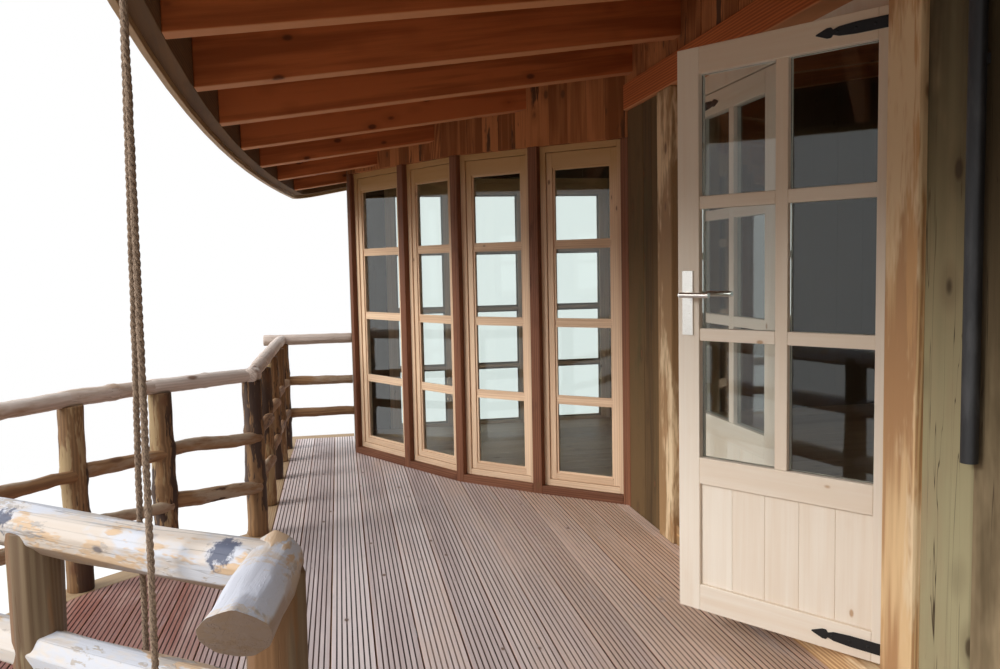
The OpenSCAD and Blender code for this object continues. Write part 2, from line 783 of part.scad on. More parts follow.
// The far end wall has tall windows like the bay's
far_windows_x = [-1300, -740, -100];
module far_window_place(x) {
    translate([x, cabin_far, deck_z + win_low]) children();
}
module near_window_place(x) {
    translate([x + plain_win_w, cabin_near, deck_z + plain_win_low]) rotate([0, 0, 180]) children();
}
module window_hole(w, h) {
    translate([0, -wall_t - 10, 0]) cube([w, wall_t + 20, h]);
}
module rear_wall() {
    color("olivedrab")
        under_roof()
            difference() {
                wall_block(rear_wall_x - wall_t, rear_wall_x, cabin_near + wall_t, cabin_far - wall_t,
                    joist_top, over_roof);
                for (y = rear_windows_y) rear_hole(y);
            }
}
module rear_hole(y) {
    translate([rear_wall_x - wall_t - 10, y, deck_z + plain_win_low]) cube([wall_t + 20, plain_win_w, plain_win_h]);
}
module far_end_wall() {
    color("olivedrab")
        under_roof()
            difference() {
                wall_block(bay_end[0], rear_wall_x, cabin_far - wall_t, cabin_far, joist_top, over_roof);
                for (x = far_windows_x) far_window_place(x) window_hole(tall_win_w, win_high - win_low);
            }
}
module near_end_wall() {
    color("olivedrab")
        under_roof()
            difference() {
                wall_block(door_wall_x, rear_wall_x, cabin_near, cabin_near + wall_t, joist_top, over_roof);
                for (x = near_windows_x) near_window_place(x) window_hole(plain_win_w, plain_win_h);
            }
}
module rear_unit_place(y) {
    translate([rear_wall_x, y + plain_win_w, deck_z + plain_win_low]) rotate([0, 0, -90]) children();
}
module plain_window_frames() {
    color("tan") {
        for (y = rear_windows_y) rear_unit_place(y) translate([0, -bay_set, 0]) window_frame(plain_win_w, plain_win_h, 1);
        for (x = near_windows_x) near_window_place(x) translate([0, -bay_set, 0]) window_frame(plain_win_w, plain_win_h, 1);
        for (x = far_windows_x)
            far_window_place(x) translate([0, -bay_set, 0]) window_frame(tall_win_w, win_high - win_low, 3);
    }
}
module plain_window_glass() {
    color("lightcyan") {
        for (y = rear_windows_y) rear_unit_place(y) translate([0, -bay_set, 0]) window_glass(plain_win_w, plain_win_h, 1);
        for (x = near_windows_x) near_window_place(x) translate([0, -bay_set, 0]) window_glass(plain_win_w, plain_win_h, 1);
        for (x = far_windows_x)
            far_window_place(x) translate([0, -bay_set, 0]) window_glass(tall_win_w, win_high - win_low, 3);
    }
}

// Roof
module rafters() { color("burlywood") rafter_rows(); }
module eaves_blocking() {
    color("darkolivegreen")
        intersection() {
            between(0, big) difference() {
                polygon(roof_outline(fascia_t));
                polygon(roof_outline(fascia_t + blocking_t));
            }
            roof_layer(0, rafter_h);
        }
}
module roof_boards() {
    color("tan")
        intersection() {
            between(0, big) polygon(roof_outline(fascia_t));
            roof_layer(rafter_h, rafter_h + roof_board_t);
        }
}
module roof_skin() {
    color("dimgray")
        intersection() {
            between(0, big) polygon(roof_outline(fascia_t));
            roof_layer(rafter_h + roof_board_t, rafter_h + roof_board_t + roof_skin_t);
        }
}
module fascia() {
    color("darkkhaki")
        intersection() {
            between(0, big) difference() {
                polygon(roof_outline(0));
                polygon(roof_outline(fascia_t));
            }
            roof_layer(-fascia_drop, rafter_h + roof_board_t + roof_skin_t + 20);
        }
}

// Downpipe on the near part of the door wall, held by a bracket
pipe_y = -1770;
pipe_low = 800;
pipe_high = roof_h - 70;
pipe_stand = 5;
pipe_x = door_wall_x - pipe_stand - pipe_d / 2;
bracket_h = 24;
bracket_z = deck_z + pipe_low + (pipe_high - pipe_low) * 0.65;
module downpipe() {
    color("dimgray")
        difference() {
            union() {
                translate([pipe_x, pipe_y, deck_z + pipe_low]) cylinder(d = pipe_d, h = pipe_high - pipe_low);
                translate([pipe_x, pipe_y - bracket_h / 2, bracket_z]) cube([door_wall_x - pipe_x, bracket_h, bracket_h]);
            }
            translate([pipe_x, pipe_y, deck_z + pipe_low - 1]) cylinder(d = pipe_d - 2 * pipe_wall, h = pipe_high);
        }
}

// Rope that hangs from a screw eye under the roof and straddles the guard's top log
front_route = [
    [-2003, -1924, 4500], [-2003, -1924, 4455], [-2002, -1927, 4410], [-2002, -1932, 4365], [-2001, -1936, 4320],
    [-2001, -1939, 4275], [-2000, -1942, 4230], [-2000, -1945, 4185], [-1999, -1948, 4140], [-1998, -1951, 4095],
    [-1998, -1955, 4050], [-1997, -1958, 4005], [-1997, -1961, 3960], [-1996, -1965, 3915], [-1996, -1968, 3870],
    [-1995, -1971, 3825], [-1995, -1974, 3780], [-1994, -1978, 3735], [-1994, -1981, 3690], [-1993, -1984, 3645],
    [-1993, -1987, 3600], [-1992, -1991, 3555], [-1992, -1994, 3510], [-1992, -1997, 3465], [-1991, -2000, 3420],
    [-1991, -2002, 3375], [-1991, -2003, 3330], [-1991, -2003, 3285], [-1992, -2003, 3240], [-1992, -2002, 3195],
    [-1993, -2002, 3150], [-1993, -2001, 3105], [-1994, -2001, 3060], [-1994, -2001, 3015], [-1994, -2001, 2970],
    [-1993, -2001, 2925], [-1993, -2002, 2880], [-1993, -2002, 2835]
];
rear_route = [
    [-2008, -1900, 4500], [-2008, -1900, 4455], [-2009, -1896, 4410], [-2011, -1889, 4365], [-2014, -1882, 4320],
    [-2016, -1875, 4275], [-2018, -1869, 4230], [-2020, -1864, 4185], [-2022, -1858, 4140], [-2024, -1852, 4095],
    [-2026, -1846, 4050], [-2028, -1840, 4005], [-2030, -1834, 3960], [-2032, -1829, 3915], [-2034, -1823, 3870],
    [-2037, -1817, 3825], [-2038, -1811, 3780], [-2040, -1805, 3735], [-2043, -1800, 3690], [-2044, -1794, 3645],
    [-2047, -1788, 3600], [-2049, -1782, 3555], [-2052, -1776, 3510], [-2054, -1769, 3465], [-2057, -1763, 3420],
    [-2059, -1757, 3375], [-2060, -1753, 3330], [-2062, -1751, 3285], [-2062, -1750, 3240], [-2062, -1750, 3195],
    [-2062, -1750, 3150], [-2062, -1750, 3105], [-2063, -1750, 3060], [-2063, -1750, 3015], [-2063, -1750, 2970],
    [-2063, -1750, 2925], [-2063, -1750, 2880], [-2063, -1750, 2835]
];
rope_sides = 8;
module rope(route) {
    bar_along(route, [for (p = route) rope_d / 2], [0, 1, 0], rope_sides);
}
module rope_front() { color("burlywood") rope(front_route); }
module rope_rear() { color("burlywood") rope(rear_route); }
// A knot hugs the rope's end: flat where the rope comes out, full in the middle
knot_r = 2 * rope_d;
knot_h = 3 * rope_d;
module knot(flat_r) {
    rotate_extrude()
        polygon([[0, 0], [flat_r, 0], [knot_r * 0.92, knot_h * 0.2], [knot_r, knot_h * 0.5],
            [knot_r * 0.92, knot_h * 0.8], [flat_r * 0.7, knot_h], [0, knot_h]]);
}
eye_at = [-2005, -1912];
module rope_knots() {
    color("burlywood") {
        translate([eye_at[0], eye_at[1], front_route[0][2]]) knot(1.6 * rope_d);
        for (route = [front_route, rear_route]) {
            end = route[len(route) - 1];
            translate([end[0], end[1], end[2] - knot_h]) knot(rope_d);
        }
    }
}
eye_r = 16;
eye_wire = 8;
shank_d = 10;
module rope_hook() {
    ring_z = front_route[0][2] + knot_h + fit + eye_r + eye_wire / 2;
    color("black")
        intersection() {
            union() {
                translate([eye_at[0], eye_at[1], ring_z])
                    rotate([90, 0, 0])
                        rotate_extrude()
                            translate([eye_r, 0, 0]) circle(d = eye_wire, $fn = 24);
                translate([eye_at[0], eye_at[1], ring_z + eye_r]) cylinder(d = shank_d, h = roof_h);
            }
            roof_layer(-roof_h, rafter_h);
        }
}

stilts_terrace();
stilts_cabin();
main_beams();
knee_braces();
floor_joists();
deck_boards();
deck_edge_beam();
railing_posts();
railing_top_rails();
railing_branch_rails();
guard_posts();
guard_logs();
cabin_floor();
door_wall_near();
door_wall_far();
wall_over_door();
door_jambs();
lintel();
threshold();
door_frame();
door_pintles();
near_leaf_frame();
near_leaf_panel();
near_leaf_glass();
near_leaf_straps();
near_leaf_handle();
far_leaf_frame();
far_leaf_panel();
far_leaf_glass();
far_leaf_straps();
bay_posts();
bay_base();
bay_window_frames();
bay_window_glass();
bay_frieze_wall();
bay_return_wall();
near_end_wall();
far_end_wall();
rear_wall();
plain_window_frames();
plain_window_glass();
rafters();
eaves_blocking();
roof_boards();
roof_skin();
fascia();
downpipe();
rope_hook();
rope_front();
rope_rear();
rope_knots();
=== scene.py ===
# %% [markdown]
# # A timber house on log stilts
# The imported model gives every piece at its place. This lesson dresses it: boards get their joints,
# logs their lumps, doors and windows their profiles, and each wood its own colour and grain.

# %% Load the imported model
import math
import random
import bpy
import numpy as np
from mathutils import Matrix, Vector


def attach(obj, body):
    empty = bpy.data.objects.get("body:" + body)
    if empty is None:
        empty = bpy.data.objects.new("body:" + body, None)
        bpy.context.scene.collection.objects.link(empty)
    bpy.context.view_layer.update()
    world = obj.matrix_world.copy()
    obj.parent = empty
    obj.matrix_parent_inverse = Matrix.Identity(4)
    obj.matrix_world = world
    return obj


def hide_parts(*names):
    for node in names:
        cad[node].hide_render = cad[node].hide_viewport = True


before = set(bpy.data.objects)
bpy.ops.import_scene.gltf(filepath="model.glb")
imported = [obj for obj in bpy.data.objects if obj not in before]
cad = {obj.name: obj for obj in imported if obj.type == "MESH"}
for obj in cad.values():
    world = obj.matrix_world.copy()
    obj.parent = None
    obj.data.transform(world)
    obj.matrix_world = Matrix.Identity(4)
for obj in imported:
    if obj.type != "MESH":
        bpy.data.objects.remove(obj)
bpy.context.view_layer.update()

# %% [markdown]
# ## The camera
# It stands at the near end of the terrace at eye height and looks along the deck. The focal length is
# given in pixels of a picture 1000 wide, which a 36 mm sensor turns into millimetres. A slight roll to
# the right tips the horizon.

# %% Camera
picture_w = 1000
focal_px = 880
sensor_mm = 36
eye = Vector((-1.65, -3.6, 3.79))
yaw = math.radians(10.3)
pitch = math.radians(4.46)
roll = math.radians(1.18)
bpy.ops.object.camera_add(location=eye)
camera = bpy.context.object
camera.matrix_world = (
    Matrix.Translation(eye)
    @ Matrix.Rotation(-yaw, 4, "Z")
    @ Matrix.Rotation(math.pi / 2 - pitch, 4, "X")
    @ Matrix.Rotation(-roll, 4, "Z")
)
camera.data.sensor_width = sensor_mm
camera.data.lens = sensor_mm * focal_px / picture_w
camera.data.clip_start = 0.02
bpy.context.scene.camera = camera
print("lens", round(camera.data.lens, 2), "mm")

# %% [markdown]
# ## Small tools for modelling
# Blender's operators work on what is selected, so each step first selects exactly what it needs.

# %% Selecting, joining and placing
deck_z = 2.5
floor_z = 2.6


def pick(*objects):
    """Selects these objects and nothing else."""
    bpy.ops.object.select_all(action="DESELECT")
    for obj in objects:
        obj.select_set(True)
    bpy.context.view_layer.objects.active = objects[0]


def mode(name):
    bpy.ops.object.mode_set(mode=name)


def open_mesh():
    """Edit mode, with the whole mesh selected."""
    mode("EDIT")
    bpy.ops.mesh.select_all(action="SELECT")


def open_where(obj, kind, test):
    """Edit mode, with those of the mesh's VERT, EDGE or FACE parts selected that pass a test."""
    mode("EDIT")
    bpy.ops.mesh.select_mode(type=kind)
    bpy.ops.mesh.select_all(action="DESELECT")
    mode("OBJECT")
    mesh = obj.data
    for part in {"VERT": mesh.vertices, "EDGE": mesh.edges, "FACE": mesh.polygons}[kind]:
        part.select = test(part)
    mode("EDIT")


def settle():
    """Puts the active object's move, turn and size into its mesh."""
    bpy.ops.object.transform_apply(location=True, rotation=True, scale=True)


def add(name, data):
    obj = bpy.data.objects.new(name, data)
    bpy.context.collection.objects.link(obj)
    return obj


def join(name, parts):
    pick(*parts)
    if len(parts) > 1:
        bpy.ops.object.join()
    obj = bpy.context.object
    obj.name = name
    return obj


def place(obj, matrix):
    pick(obj)
    obj.matrix_world = matrix @ obj.matrix_world
    settle()
    return obj


def finish_with(obj, kind, **settings):
    """Adds a modifier, sets it and applies it."""
    pick(obj)
    modifier = obj.modifiers.new(kind.title(), kind)
    for key, value in settings.items():
        setattr(modifier, key, value)
    bpy.ops.object.modifier_apply(modifier=modifier.name)
    return obj


def soften(obj, width, segments=2, angle=0.6):
    """Rounds the sharp edges a little, as a plane or sandpaper does."""
    return finish_with(obj, "BEVEL", width=width, segments=segments, limit_method="ANGLE", angle_limit=angle)


def copy_of(node, name):
    """A copy of a CAD node with its triangles merged into whole faces."""
    obj = add(name, cad[node].data.copy())
    obj.data.materials.clear()
    pick(obj)
    bpy.ops.mesh.customdata_custom_splitnormals_clear()
    open_mesh()
    bpy.ops.mesh.remove_doubles(threshold=2e-5)
    bpy.ops.mesh.dissolve_limited(angle_limit=0.01)
    mode("OBJECT")
    return obj


def keep_side(obj, point, normal):
    """Cuts off everything behind a plane and closes the cut."""
    pick(obj)
    open_mesh()
    bpy.ops.mesh.bisect(plane_co=point, plane_no=normal, use_fill=True, clear_inner=True)
    mode("OBJECT")
    return obj


def loose_parts(mesh):
    """The vertex numbers of each separate part of a mesh."""
    root = list(range(len(mesh.vertices)))

    def top(i):
        while root[i] != i:
            root[i] = root[root[i]]
            i = root[i]
        return i

    for edge in mesh.edges:
        root[top(edge.vertices[0])] = top(edge.vertices[1])
    parts = {}
    for i in range(len(root)):
        parts.setdefault(top(i), []).append(i)
    return list(parts.values())


def read(mesh, what):
    """Each vertex's place, what "co", or the way it faces, "normal"."""
    flat = np.empty(len(mesh.vertices) * 3, np.float32)
    mesh.vertices.foreach_get(what, flat)
    return flat.reshape(-1, 3)


def boxes_of(node):
    """Lowest and highest corner of each solid of a node, from the near end to the far end."""
    obj = copy_of(node, "measure")
    points = read(obj.data, "co")
    boxes = [(Vector(points[ids].min(0)), Vector(points[ids].max(0))) for ids in loose_parts(obj.data)]
    bpy.data.objects.remove(obj)
    return sorted(boxes, key=lambda box: (round(box[0].y, 3), round(box[0].x, 3)))


print("tools ready")

# %% [markdown]
# ## Wood coordinates
# Grain runs along each board, whichever way it lies. So every separate part of a piece gets its own
# coordinates, with the third one along its longest direction, and a random tone. It also keeps which way
# each point faces, because undersides and the inner sides of walls get painted shade, and some undersides
# painted bounce light.

# %% Grain along every board
def lay_grain(obj, seed):
    mesh = obj.data
    points = read(mesh, "co").astype(float)
    grain = np.zeros((len(points), 3))
    tone = np.zeros(len(points))
    draw = random.Random(seed)
    for ids in loose_parts(mesh):
        part = points[ids] - points[ids].mean(0)
        axes = np.linalg.eigh(part.T @ part)[1]
        shift = [draw.uniform(-20, 20) for _ in range(3)]
        grain[ids] = part @ axes + shift
        tone[ids] = draw.random()
    for name, kind, key, values in (
        ("grain", "FLOAT_VECTOR", "vector", grain), ("tone", "FLOAT", "value", tone),
        ("facing", "FLOAT_VECTOR", "vector", read(mesh, "normal")),
    ):
        layer = mesh.attributes.get(name) or mesh.attributes.new(name, kind, "POINT")
        layer.data.foreach_set(key, values.astype(np.float32).ravel())


def coat(obj, finish):
    obj.data.materials.clear()
    obj.data.materials.append(finish)


piece_count = 0


def hand_over(obj, finish, replaces=(), smooth=None, body="house"):
    """Gives a finished piece its grain, finish and body, and hides the nodes that it stands for."""
    global piece_count
    piece_count += 1
    lay_grain(obj, piece_count)
    coat(obj, finish)
    pick(obj)
    if smooth:
        bpy.ops.object.shade_smooth_by_angle(angle=math.radians(smooth))
    else:
        bpy.ops.object.shade_flat()
    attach(obj, body)
    if replaces:
        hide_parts(*replaces)
    print(obj.name, len(obj.data.polygons), "faces")
    return obj


# %% [markdown]
# ## Shader maths
# Node trees are easier to read as formulas. A small class wraps a socket, and the usual signs on it add
# Math nodes. One method makes every other node.

# %% Formulas that build nodes
class Value:
    """A number, colour or direction that varies over the surface."""

    def __init__(self, graph, socket):
        self.graph = graph
        self.socket = socket

    def maths(self, operation, *values):
        return self.graph.node("Math", {"operation": operation}, values)

    def __add__(self, other):
        return self.maths("ADD", self, other)

    def __sub__(self, other):
        return self.maths("SUBTRACT", self, other)

    def __rsub__(self, other):
        return self.maths("SUBTRACT", other, self)

    def __mul__(self, other):
        return self.maths("MULTIPLY", self, other)

    __radd__ = __add__
    __rmul__ = __mul__

    def between(self, low, high):
        """0 below low, 1 above high, and smooth in the middle."""
        ends = {"Value": self, "From Min": low, "From Max": high}
        return self.graph.node("MapRange", {"interpolation_type": "SMOOTHSTEP"}, ends)


class Graph:
    """The node tree of a material or world."""

    def __init__(self, owner):
        owner.use_nodes = True
        self.tree = owner.node_tree

    def node(self, kind, settings=None, sockets=(), output=0):
        """Sockets are values or links, in order or by name."""
        made = self.tree.nodes.new("ShaderNode" + kind)
        for key, value in (settings or {}).items():
            setattr(made, key, value)
        for key, value in sockets.items() if isinstance(sockets, dict) else enumerate(sockets):
            self.feed(made.inputs[key], value)
        return Value(self, made.outputs[output])

    def feed(self, socket, value):
        if isinstance(value, Value):
            self.tree.links.new(value.socket, socket)
        else:
            socket.default_value = (*value, 1.0) if socket.type == "RGBA" else value

    def vector(self, operation, *values, output=0):
        return self.node("VectorMath", {"operation": operation}, values, output)

    def mix(self, amount, a, b):
        """Colour a where amount is 0, colour b where it is 1."""
        return self.node("Mix", {"data_type": "RGBA"}, {0: amount, 6: a, 7: b}, output=2)


class Finish(Graph):
    """A material that is written as formulas."""

    def __init__(self, name):
        self.material = bpy.data.materials.new(name)
        super().__init__(self.material)
        self.shader = self.tree.nodes["Principled BSDF"]

    def layer(self, name, output="Vector"):
        """What lay_grain has kept: grain, tone or facing."""
        return self.node("Attribute", {"attribute_name": name}, output=output)

    def grain(self, *stretch):
        """The board's own coordinates, stretched by three numbers."""
        return self.vector("MULTIPLY", self.layer("grain"), stretch)

    def place(self, *stretch):
        """Object coordinates, stretched by three numbers."""
        return self.vector("MULTIPLY", self.node("TexCoord", output="Object"), stretch)

    def along(self, a, b):
        return self.vector("DOT_PRODUCT", a, b, output="Value")

    def noise(self, where, detail=3.0, rough=0.6, warp=0.0):
        settings = {"Vector": where, "Scale": 1.0, "Detail": detail, "Roughness": rough, "Distortion": warp}
        return self.node("TexNoise", {}, settings)

    def bump(self, height, strength, distance=0.003):
        settings = {"Strength": strength, "Distance": distance, "Height": height}
        self.feed(self.shader.inputs["Normal"], self.node("Bump", {}, settings))

    def look(self, color, roughness, **fixed):
        for key, value in {"Base Color": color, "Roughness": roughness, **fixed}.items():
            self.feed(self.shader.inputs[key], value)
        return self.material


print("shader tools ready")

# %% [markdown]
# ## Wood
# All the timber comes from one recipe: long streaks, wavy growth rings, a few knots, and a tone that
# differs from board to board. Each kind of wood has its own colours and shares of these.

# %% One recipe for every wood
room_centre = (1.35, 0.2, 0)
plain_brown = (0.16, 0.07, 0.03)
streak_share = 0.9
broad_share = 0.55
soft_step = 0.42
split_at = 0.5
split_w = 0.008


def wood(
    name, light, dark, knot=plain_brown, knots=1.0, rings=0.35, streaks=1.0, spread=0.35, rough=0.6,
    bump=0.35, shine=0.5, cracks=0.0, patches=(), zones=(), stains=(), underside_shading=None, underside_shading_way=(0, 0, -1),
    inner_shade=None,
):
    """Patches are (colour, size, stretch, low, high) of spots. Zones are (colour, way, low, high): none of
    this colour up to low along the way and all beyond high. Stains are (colour, centre, radius). The
    underside colour paints shade on undersides, or on faces that look the given way, and where it is
    paler it paints bounce light. The inner colour paints the room's shade on faces that look into the room."""
    f = Finish(name)
    streak = f.noise(f.grain(70, 70, 2.4), detail=5, rough=0.65)
    broad = f.noise(f.grain(7, 7, 0.55), detail=2)
    bands = {"Scale": 26, "Distortion": 5.0, "Detail": 2.0, "Detail Scale": 0.7}
    wave = f.node("TexWave", {"bands_direction": "X"}, {"Vector": f.grain(1, 1, 0.07), **bands}, output=1)
    tone = f.layer("tone", "Fac")
    shade = streak * (streak_share * streaks) + broad * broad_share + wave * rings + tone * spread
    middle = 0.5 * (streak_share * streaks + broad_share + rings + spread)
    color = f.mix(shade.between(middle - soft_step, middle + soft_step), dark, light)
    height = streak * 0.7 + wave * (0.5 * rings)
    for tint, way, low, high in zones:
        ragged = f.along(f.place(1, 1, 1), way) + (broad - 0.5) * (high - low)
        color = f.mix(ragged.between(low, high) * (shade * 0.25 + 0.65), color, tint)
    for tint, size, stretch, low, high in patches:
        spot = f.noise(f.grain(size, size, size * stretch), detail=5, rough=0.7).between(low, high)
        color = f.mix(spot, color, tint)
        height = height + spot * 0.3
    if cracks:
        split = f.noise(f.grain(34, 34, 0.9), detail=2, rough=0.5, warp=0.4)
        line = split.between(split_at - split_w, split_at) * (1 - split.between(split_at, split_at + split_w))
        line = line * broad.between(0.42, 0.58) * cracks
        color = f.mix(line, color, knot)
        height = height - line * 0.8
    for tint, centre, radius in stains:
        off = f.vector("DISTANCE", f.place(1, 1, 1), centre, output="Value")
        ragged = off + (f.noise(f.place(45, 45, 45), detail=4, rough=0.7) - 0.5) * (radius * 2.2)
        color = f.mix((1 - ragged.between(radius * 0.6, radius)) * 0.93, color, tint)
    # Painted shade on faces that look down, or the given way; a paler colour here is painted bounce light.
    if underside_shading:
        color = f.mix(f.along(f.layer("facing"), underside_shading_way).between(0.2, 0.6) * 0.85, color, underside_shading)
    # Painted shade of the unlit room on the faces that look into it.
    if inner_shade:
        outward = f.vector("NORMALIZE", f.vector("SUBTRACT", f.place(1, 1, 0), room_centre))
        inward = 0 - f.along(f.layer("facing"), outward)
        color = f.mix(inward.between(0.2, 0.4) * 0.92, color, inner_shade)
    if knots:
        cells = f.node("TexVoronoi", {}, {"Vector": f.grain(8, 8, 4.4), "Scale": 1.0})
        eye_spot = 1 - cells.between(0.055 * knots, 0.12 * knots)
        halo = 1 - cells.between(0.1 * knots, 0.3 * knots)
        color = f.mix(halo * 0.35, color, dark)
        color = f.mix(eye_spot * 0.85, color, knot)
        height = height + eye_spot * 0.25
    f.bump(height, bump)
    return f.look(color, streak * 0.18 + (rough - 0.09), **{"Specular IOR Level": shine})


print("wood recipe ready")

# %% [markdown]
# The joinery is new and pale, the wall slabs are weathered, and the timber under the roof is orange. The
# tops of the slabs beside the door and the heads of the window frames are painted darker, as the roof's
# shade, and the inner faces of the walls as the shade of the room.

# %% Joinery and walls
# Painted shade: the colour of wall faces that look into the unlit room.
painted_room_shade = (0.085, 0.055, 0.03)
# Painted shade of the roof: darker towards the top of the slabs beside the door.
painted_roof_shade = ((0.045, 0.032, 0.014), (0, 0, 1), 3.45, 4.45)
slab = {"rings": 0.3, "inner_shade": painted_room_shade, "shine": 0.3}
old_slab = {"knot": (0.05, 0.03, 0.015), "rough": 0.75, "bump": 0.4, "cracks": 1.0, **slab}
spruce = wood(
    "new_spruce", (0.84, 0.77, 0.68), (0.75, 0.63, 0.51), knot=(0.45, 0.27, 0.14), knots=0.6, rings=0.25,
    streaks=0.7, spread=0.3, rough=0.5, bump=0.12,
)
# The window frames get painted shade: darker and more orange towards their heads, under the roof.
window_fir = wood(
    "window_fir", (0.9, 0.68, 0.48), (0.68, 0.46, 0.3), knots=0.7, rings=0.3, rough=0.55, bump=0.18,
    zones=(((0.52, 0.31, 0.12), (0, 0, 1), 4.1, 4.4),),
)
post_fir = wood(
    "red_brown_fir", (0.26, 0.105, 0.055), (0.13, 0.046, 0.022), rings=0.4, bump=0.25, shine=0.3,
    patches=(((0.11, 0.04, 0.02), 4, 0.25, 0.56, 0.66),),
)
# The far jamb, beyond y = 0, gets painted shade.
jamb_fir = wood(
    "orange_fir", (0.76, 0.53, 0.29), (0.47, 0.26, 0.12), knots=1.3, rings=0.8, bump=0.45,
    patches=(((0.8, 0.62, 0.4), 5, 0.2, 0.52, 0.62), ((0.6, 0.35, 0.16), 7, 0.1, 0.6, 0.66)),
    zones=(((0.34, 0.2, 0.09), (0, 1, 0), -0.1, 0.1),),
)
green_slab = wood(
    "green_slab", (0.28, 0.22, 0.13), (0.13, 0.1, 0.055), knots=0.9, spread=0.5,
    patches=(((0.37, 0.3, 0.18), 2.6, 0.3, 0.5, 0.75),), **old_slab,
)
# The slab beside the door is paler, partly its own tone and partly painted sunlight.
door_side_slab = wood(
    "door_side_slab", (0.23, 0.17, 0.1), (0.11, 0.08, 0.042), knots=1.3, spread=0.4,
    patches=(((0.36, 0.28, 0.17), 2.6, 0.3, 0.5, 0.75),),
    zones=(((0.39, 0.35, 0.21), (0, 1, 0), -1.7505, -1.7495), painted_roof_shade), **old_slab,
)
dark_slab = wood(
    "dark_slab", (0.15, 0.088, 0.037), (0.048, 0.027, 0.011), spread=0.5, rough=0.8, bump=0.5,
    patches=(((0.09, 0.07, 0.028), 5, 0.3, 0.5, 0.75),), **slab,
)
frieze_fir = wood(
    "frieze_fir", (0.56, 0.225, 0.088), (0.26, 0.088, 0.028), knots=1.2, rings=0.5, streaks=0.9, spread=0.8,
    rough=0.8, bump=0.6, cracks=1.0, inner_shade=painted_room_shade, shine=0.25,
    patches=(((0.11, 0.05, 0.024), 8, 0.15, 0.58, 0.64),),
)
# The rafters' lower faces get a paler colour: painted bounce light from below.
rafter_fir = wood(
    "rafter_fir", (0.62, 0.185, 0.058), (0.37, 0.1, 0.027), knot=(0.1, 0.03, 0.01), knots=1.1, rings=0.6,
    rough=0.7, bump=0.3, underside_shading=(0.6, 0.28, 0.13), shine=0.3,
)
eaves_wood = wood("eaves_blocking", (0.19, 0.1, 0.04), (0.1, 0.05, 0.018), rough=0.8, shine=0.3)
# The bent band's underside is paler: painted bounce light from below.
band_ply = wood(
    "bent_band", (0.5, 0.33, 0.17), (0.33, 0.2, 0.09), knots=0, rings=0.2, underside_shading=(0.6, 0.42, 0.24),
)
roof_fir = wood(
    "roof_boards", (0.36, 0.15, 0.06), (0.21, 0.08, 0.03), knots=1.1, spread=0.7, rough=0.75, shine=0.3,
)
floor_pine = wood("floor_boards", (0.5, 0.33, 0.19), (0.33, 0.2, 0.1), spread=0.6, rough=0.5, bump=0.15)
beam_larch = wood("beam_larch", (0.48, 0.34, 0.2), (0.31, 0.19, 0.1), knots=1.2, rough=0.7, bump=0.3)
print("sawn woods ready")

# %% [markdown]
# The deck has worn grey-pink on top. Below that it turns orange-brown and then nearly black: painted shade
# in its grooves, between its boards and underneath, with some dirt in the grooves. The round wood keeps rests
# of bark, and the peeled logs are blotched blue and brown, with two dark scars; their sawn end and undersides
# get painted shade.

# %% Deck and round wood
deck_larch = wood(
    "deck_larch", (0.84, 0.74, 0.74), (0.58, 0.48, 0.48), knots=0.7, rings=0.25, spread=0.9, rough=0.62,
    bump=0.3,
    patches=(((0.74, 0.56, 0.48), 2.2, 0.2, 0.48, 0.8), ((0.54, 0.47, 0.48), 4.0, 0.2, 0.58, 0.76)),
    zones=(
        ((0.64, 0.46, 0.36), (1, 0, 0), -1.2, -0.2), ((0.33, 0.125, 0.095), (-1, 0, 0), 1.9, 2.3),
        # Painted shade below the top face, in the grooves, on the board sides and underneath, with some dirt
        # in the grooves.
        ((0.55, 0.25, 0.14), (0, 0, -1), -2.4998, -2.4992),
        ((0.045, 0.022, 0.018), (0, 0, -1), -2.499, -2.498),
    ),
)
pole_wood = wood(
    "barked_pole", (0.36, 0.205, 0.09), (0.17, 0.088, 0.038), knots=1.6, rings=0.3, rough=0.65, bump=0.8,
    cracks=0.6,
    patches=(((0.42, 0.3, 0.16), 7, 0.2, 0.55, 0.6), ((0.055, 0.028, 0.018), 9, 0.16, 0.5, 0.525)),
)
branch_wood = wood(
    "branch_wood", (0.41, 0.235, 0.11), (0.22, 0.11, 0.05), knots=1.4, rings=0.3, rough=0.7, bump=0.5,
    cracks=0.5,
    patches=(((0.46, 0.35, 0.25), 5, 0.3, 0.5, 0.62), ((0.09, 0.042, 0.024), 7, 0.3, 0.6, 0.65)),
)
rail_wood = wood(
    "grey_rail", (0.8, 0.7, 0.64), (0.52, 0.41, 0.35), knots=1.3, rings=0.2, rough=0.7, bump=0.4,
    cracks=0.8, patches=(((0.44, 0.28, 0.17), 5, 0.3, 0.54, 0.75),),
)
scar = (0.07, 0.085, 0.15)
# The peeled logs' sawn end and undersides get painted shade, brown on their lower flank.
peeled_log = wood(
    "peeled_log", (0.74, 0.69, 0.66), (0.62, 0.51, 0.42), knot=(0.12, 0.11, 0.13), knots=0.7, rings=0.05,
    streaks=0.6, bump=0.7, cracks=0.5, underside_shading=(0.27, 0.16, 0.09), underside_shading_way=(0.55, -0.35, -0.75),
    patches=(
        ((0.64, 0.66, 0.74), 5, 0.4, 0.47, 0.56), ((0.66, 0.47, 0.31), 8, 0.3, 0.55, 0.59),
        ((0.5, 0.45, 0.42), 14, 0.4, 0.57, 0.61), ((0.2, 0.2, 0.24), 11, 0.35, 0.68, 0.71),
    ),
    stains=(
        ((0.68, 0.71, 0.82), (-1.8, -2.24, 3.33), 0.15), (scar, (-1.863, -2.023, 3.298), 0.036),
        (scar, (-2.334, -1.664, 3.284), 0.03),
    ),
)
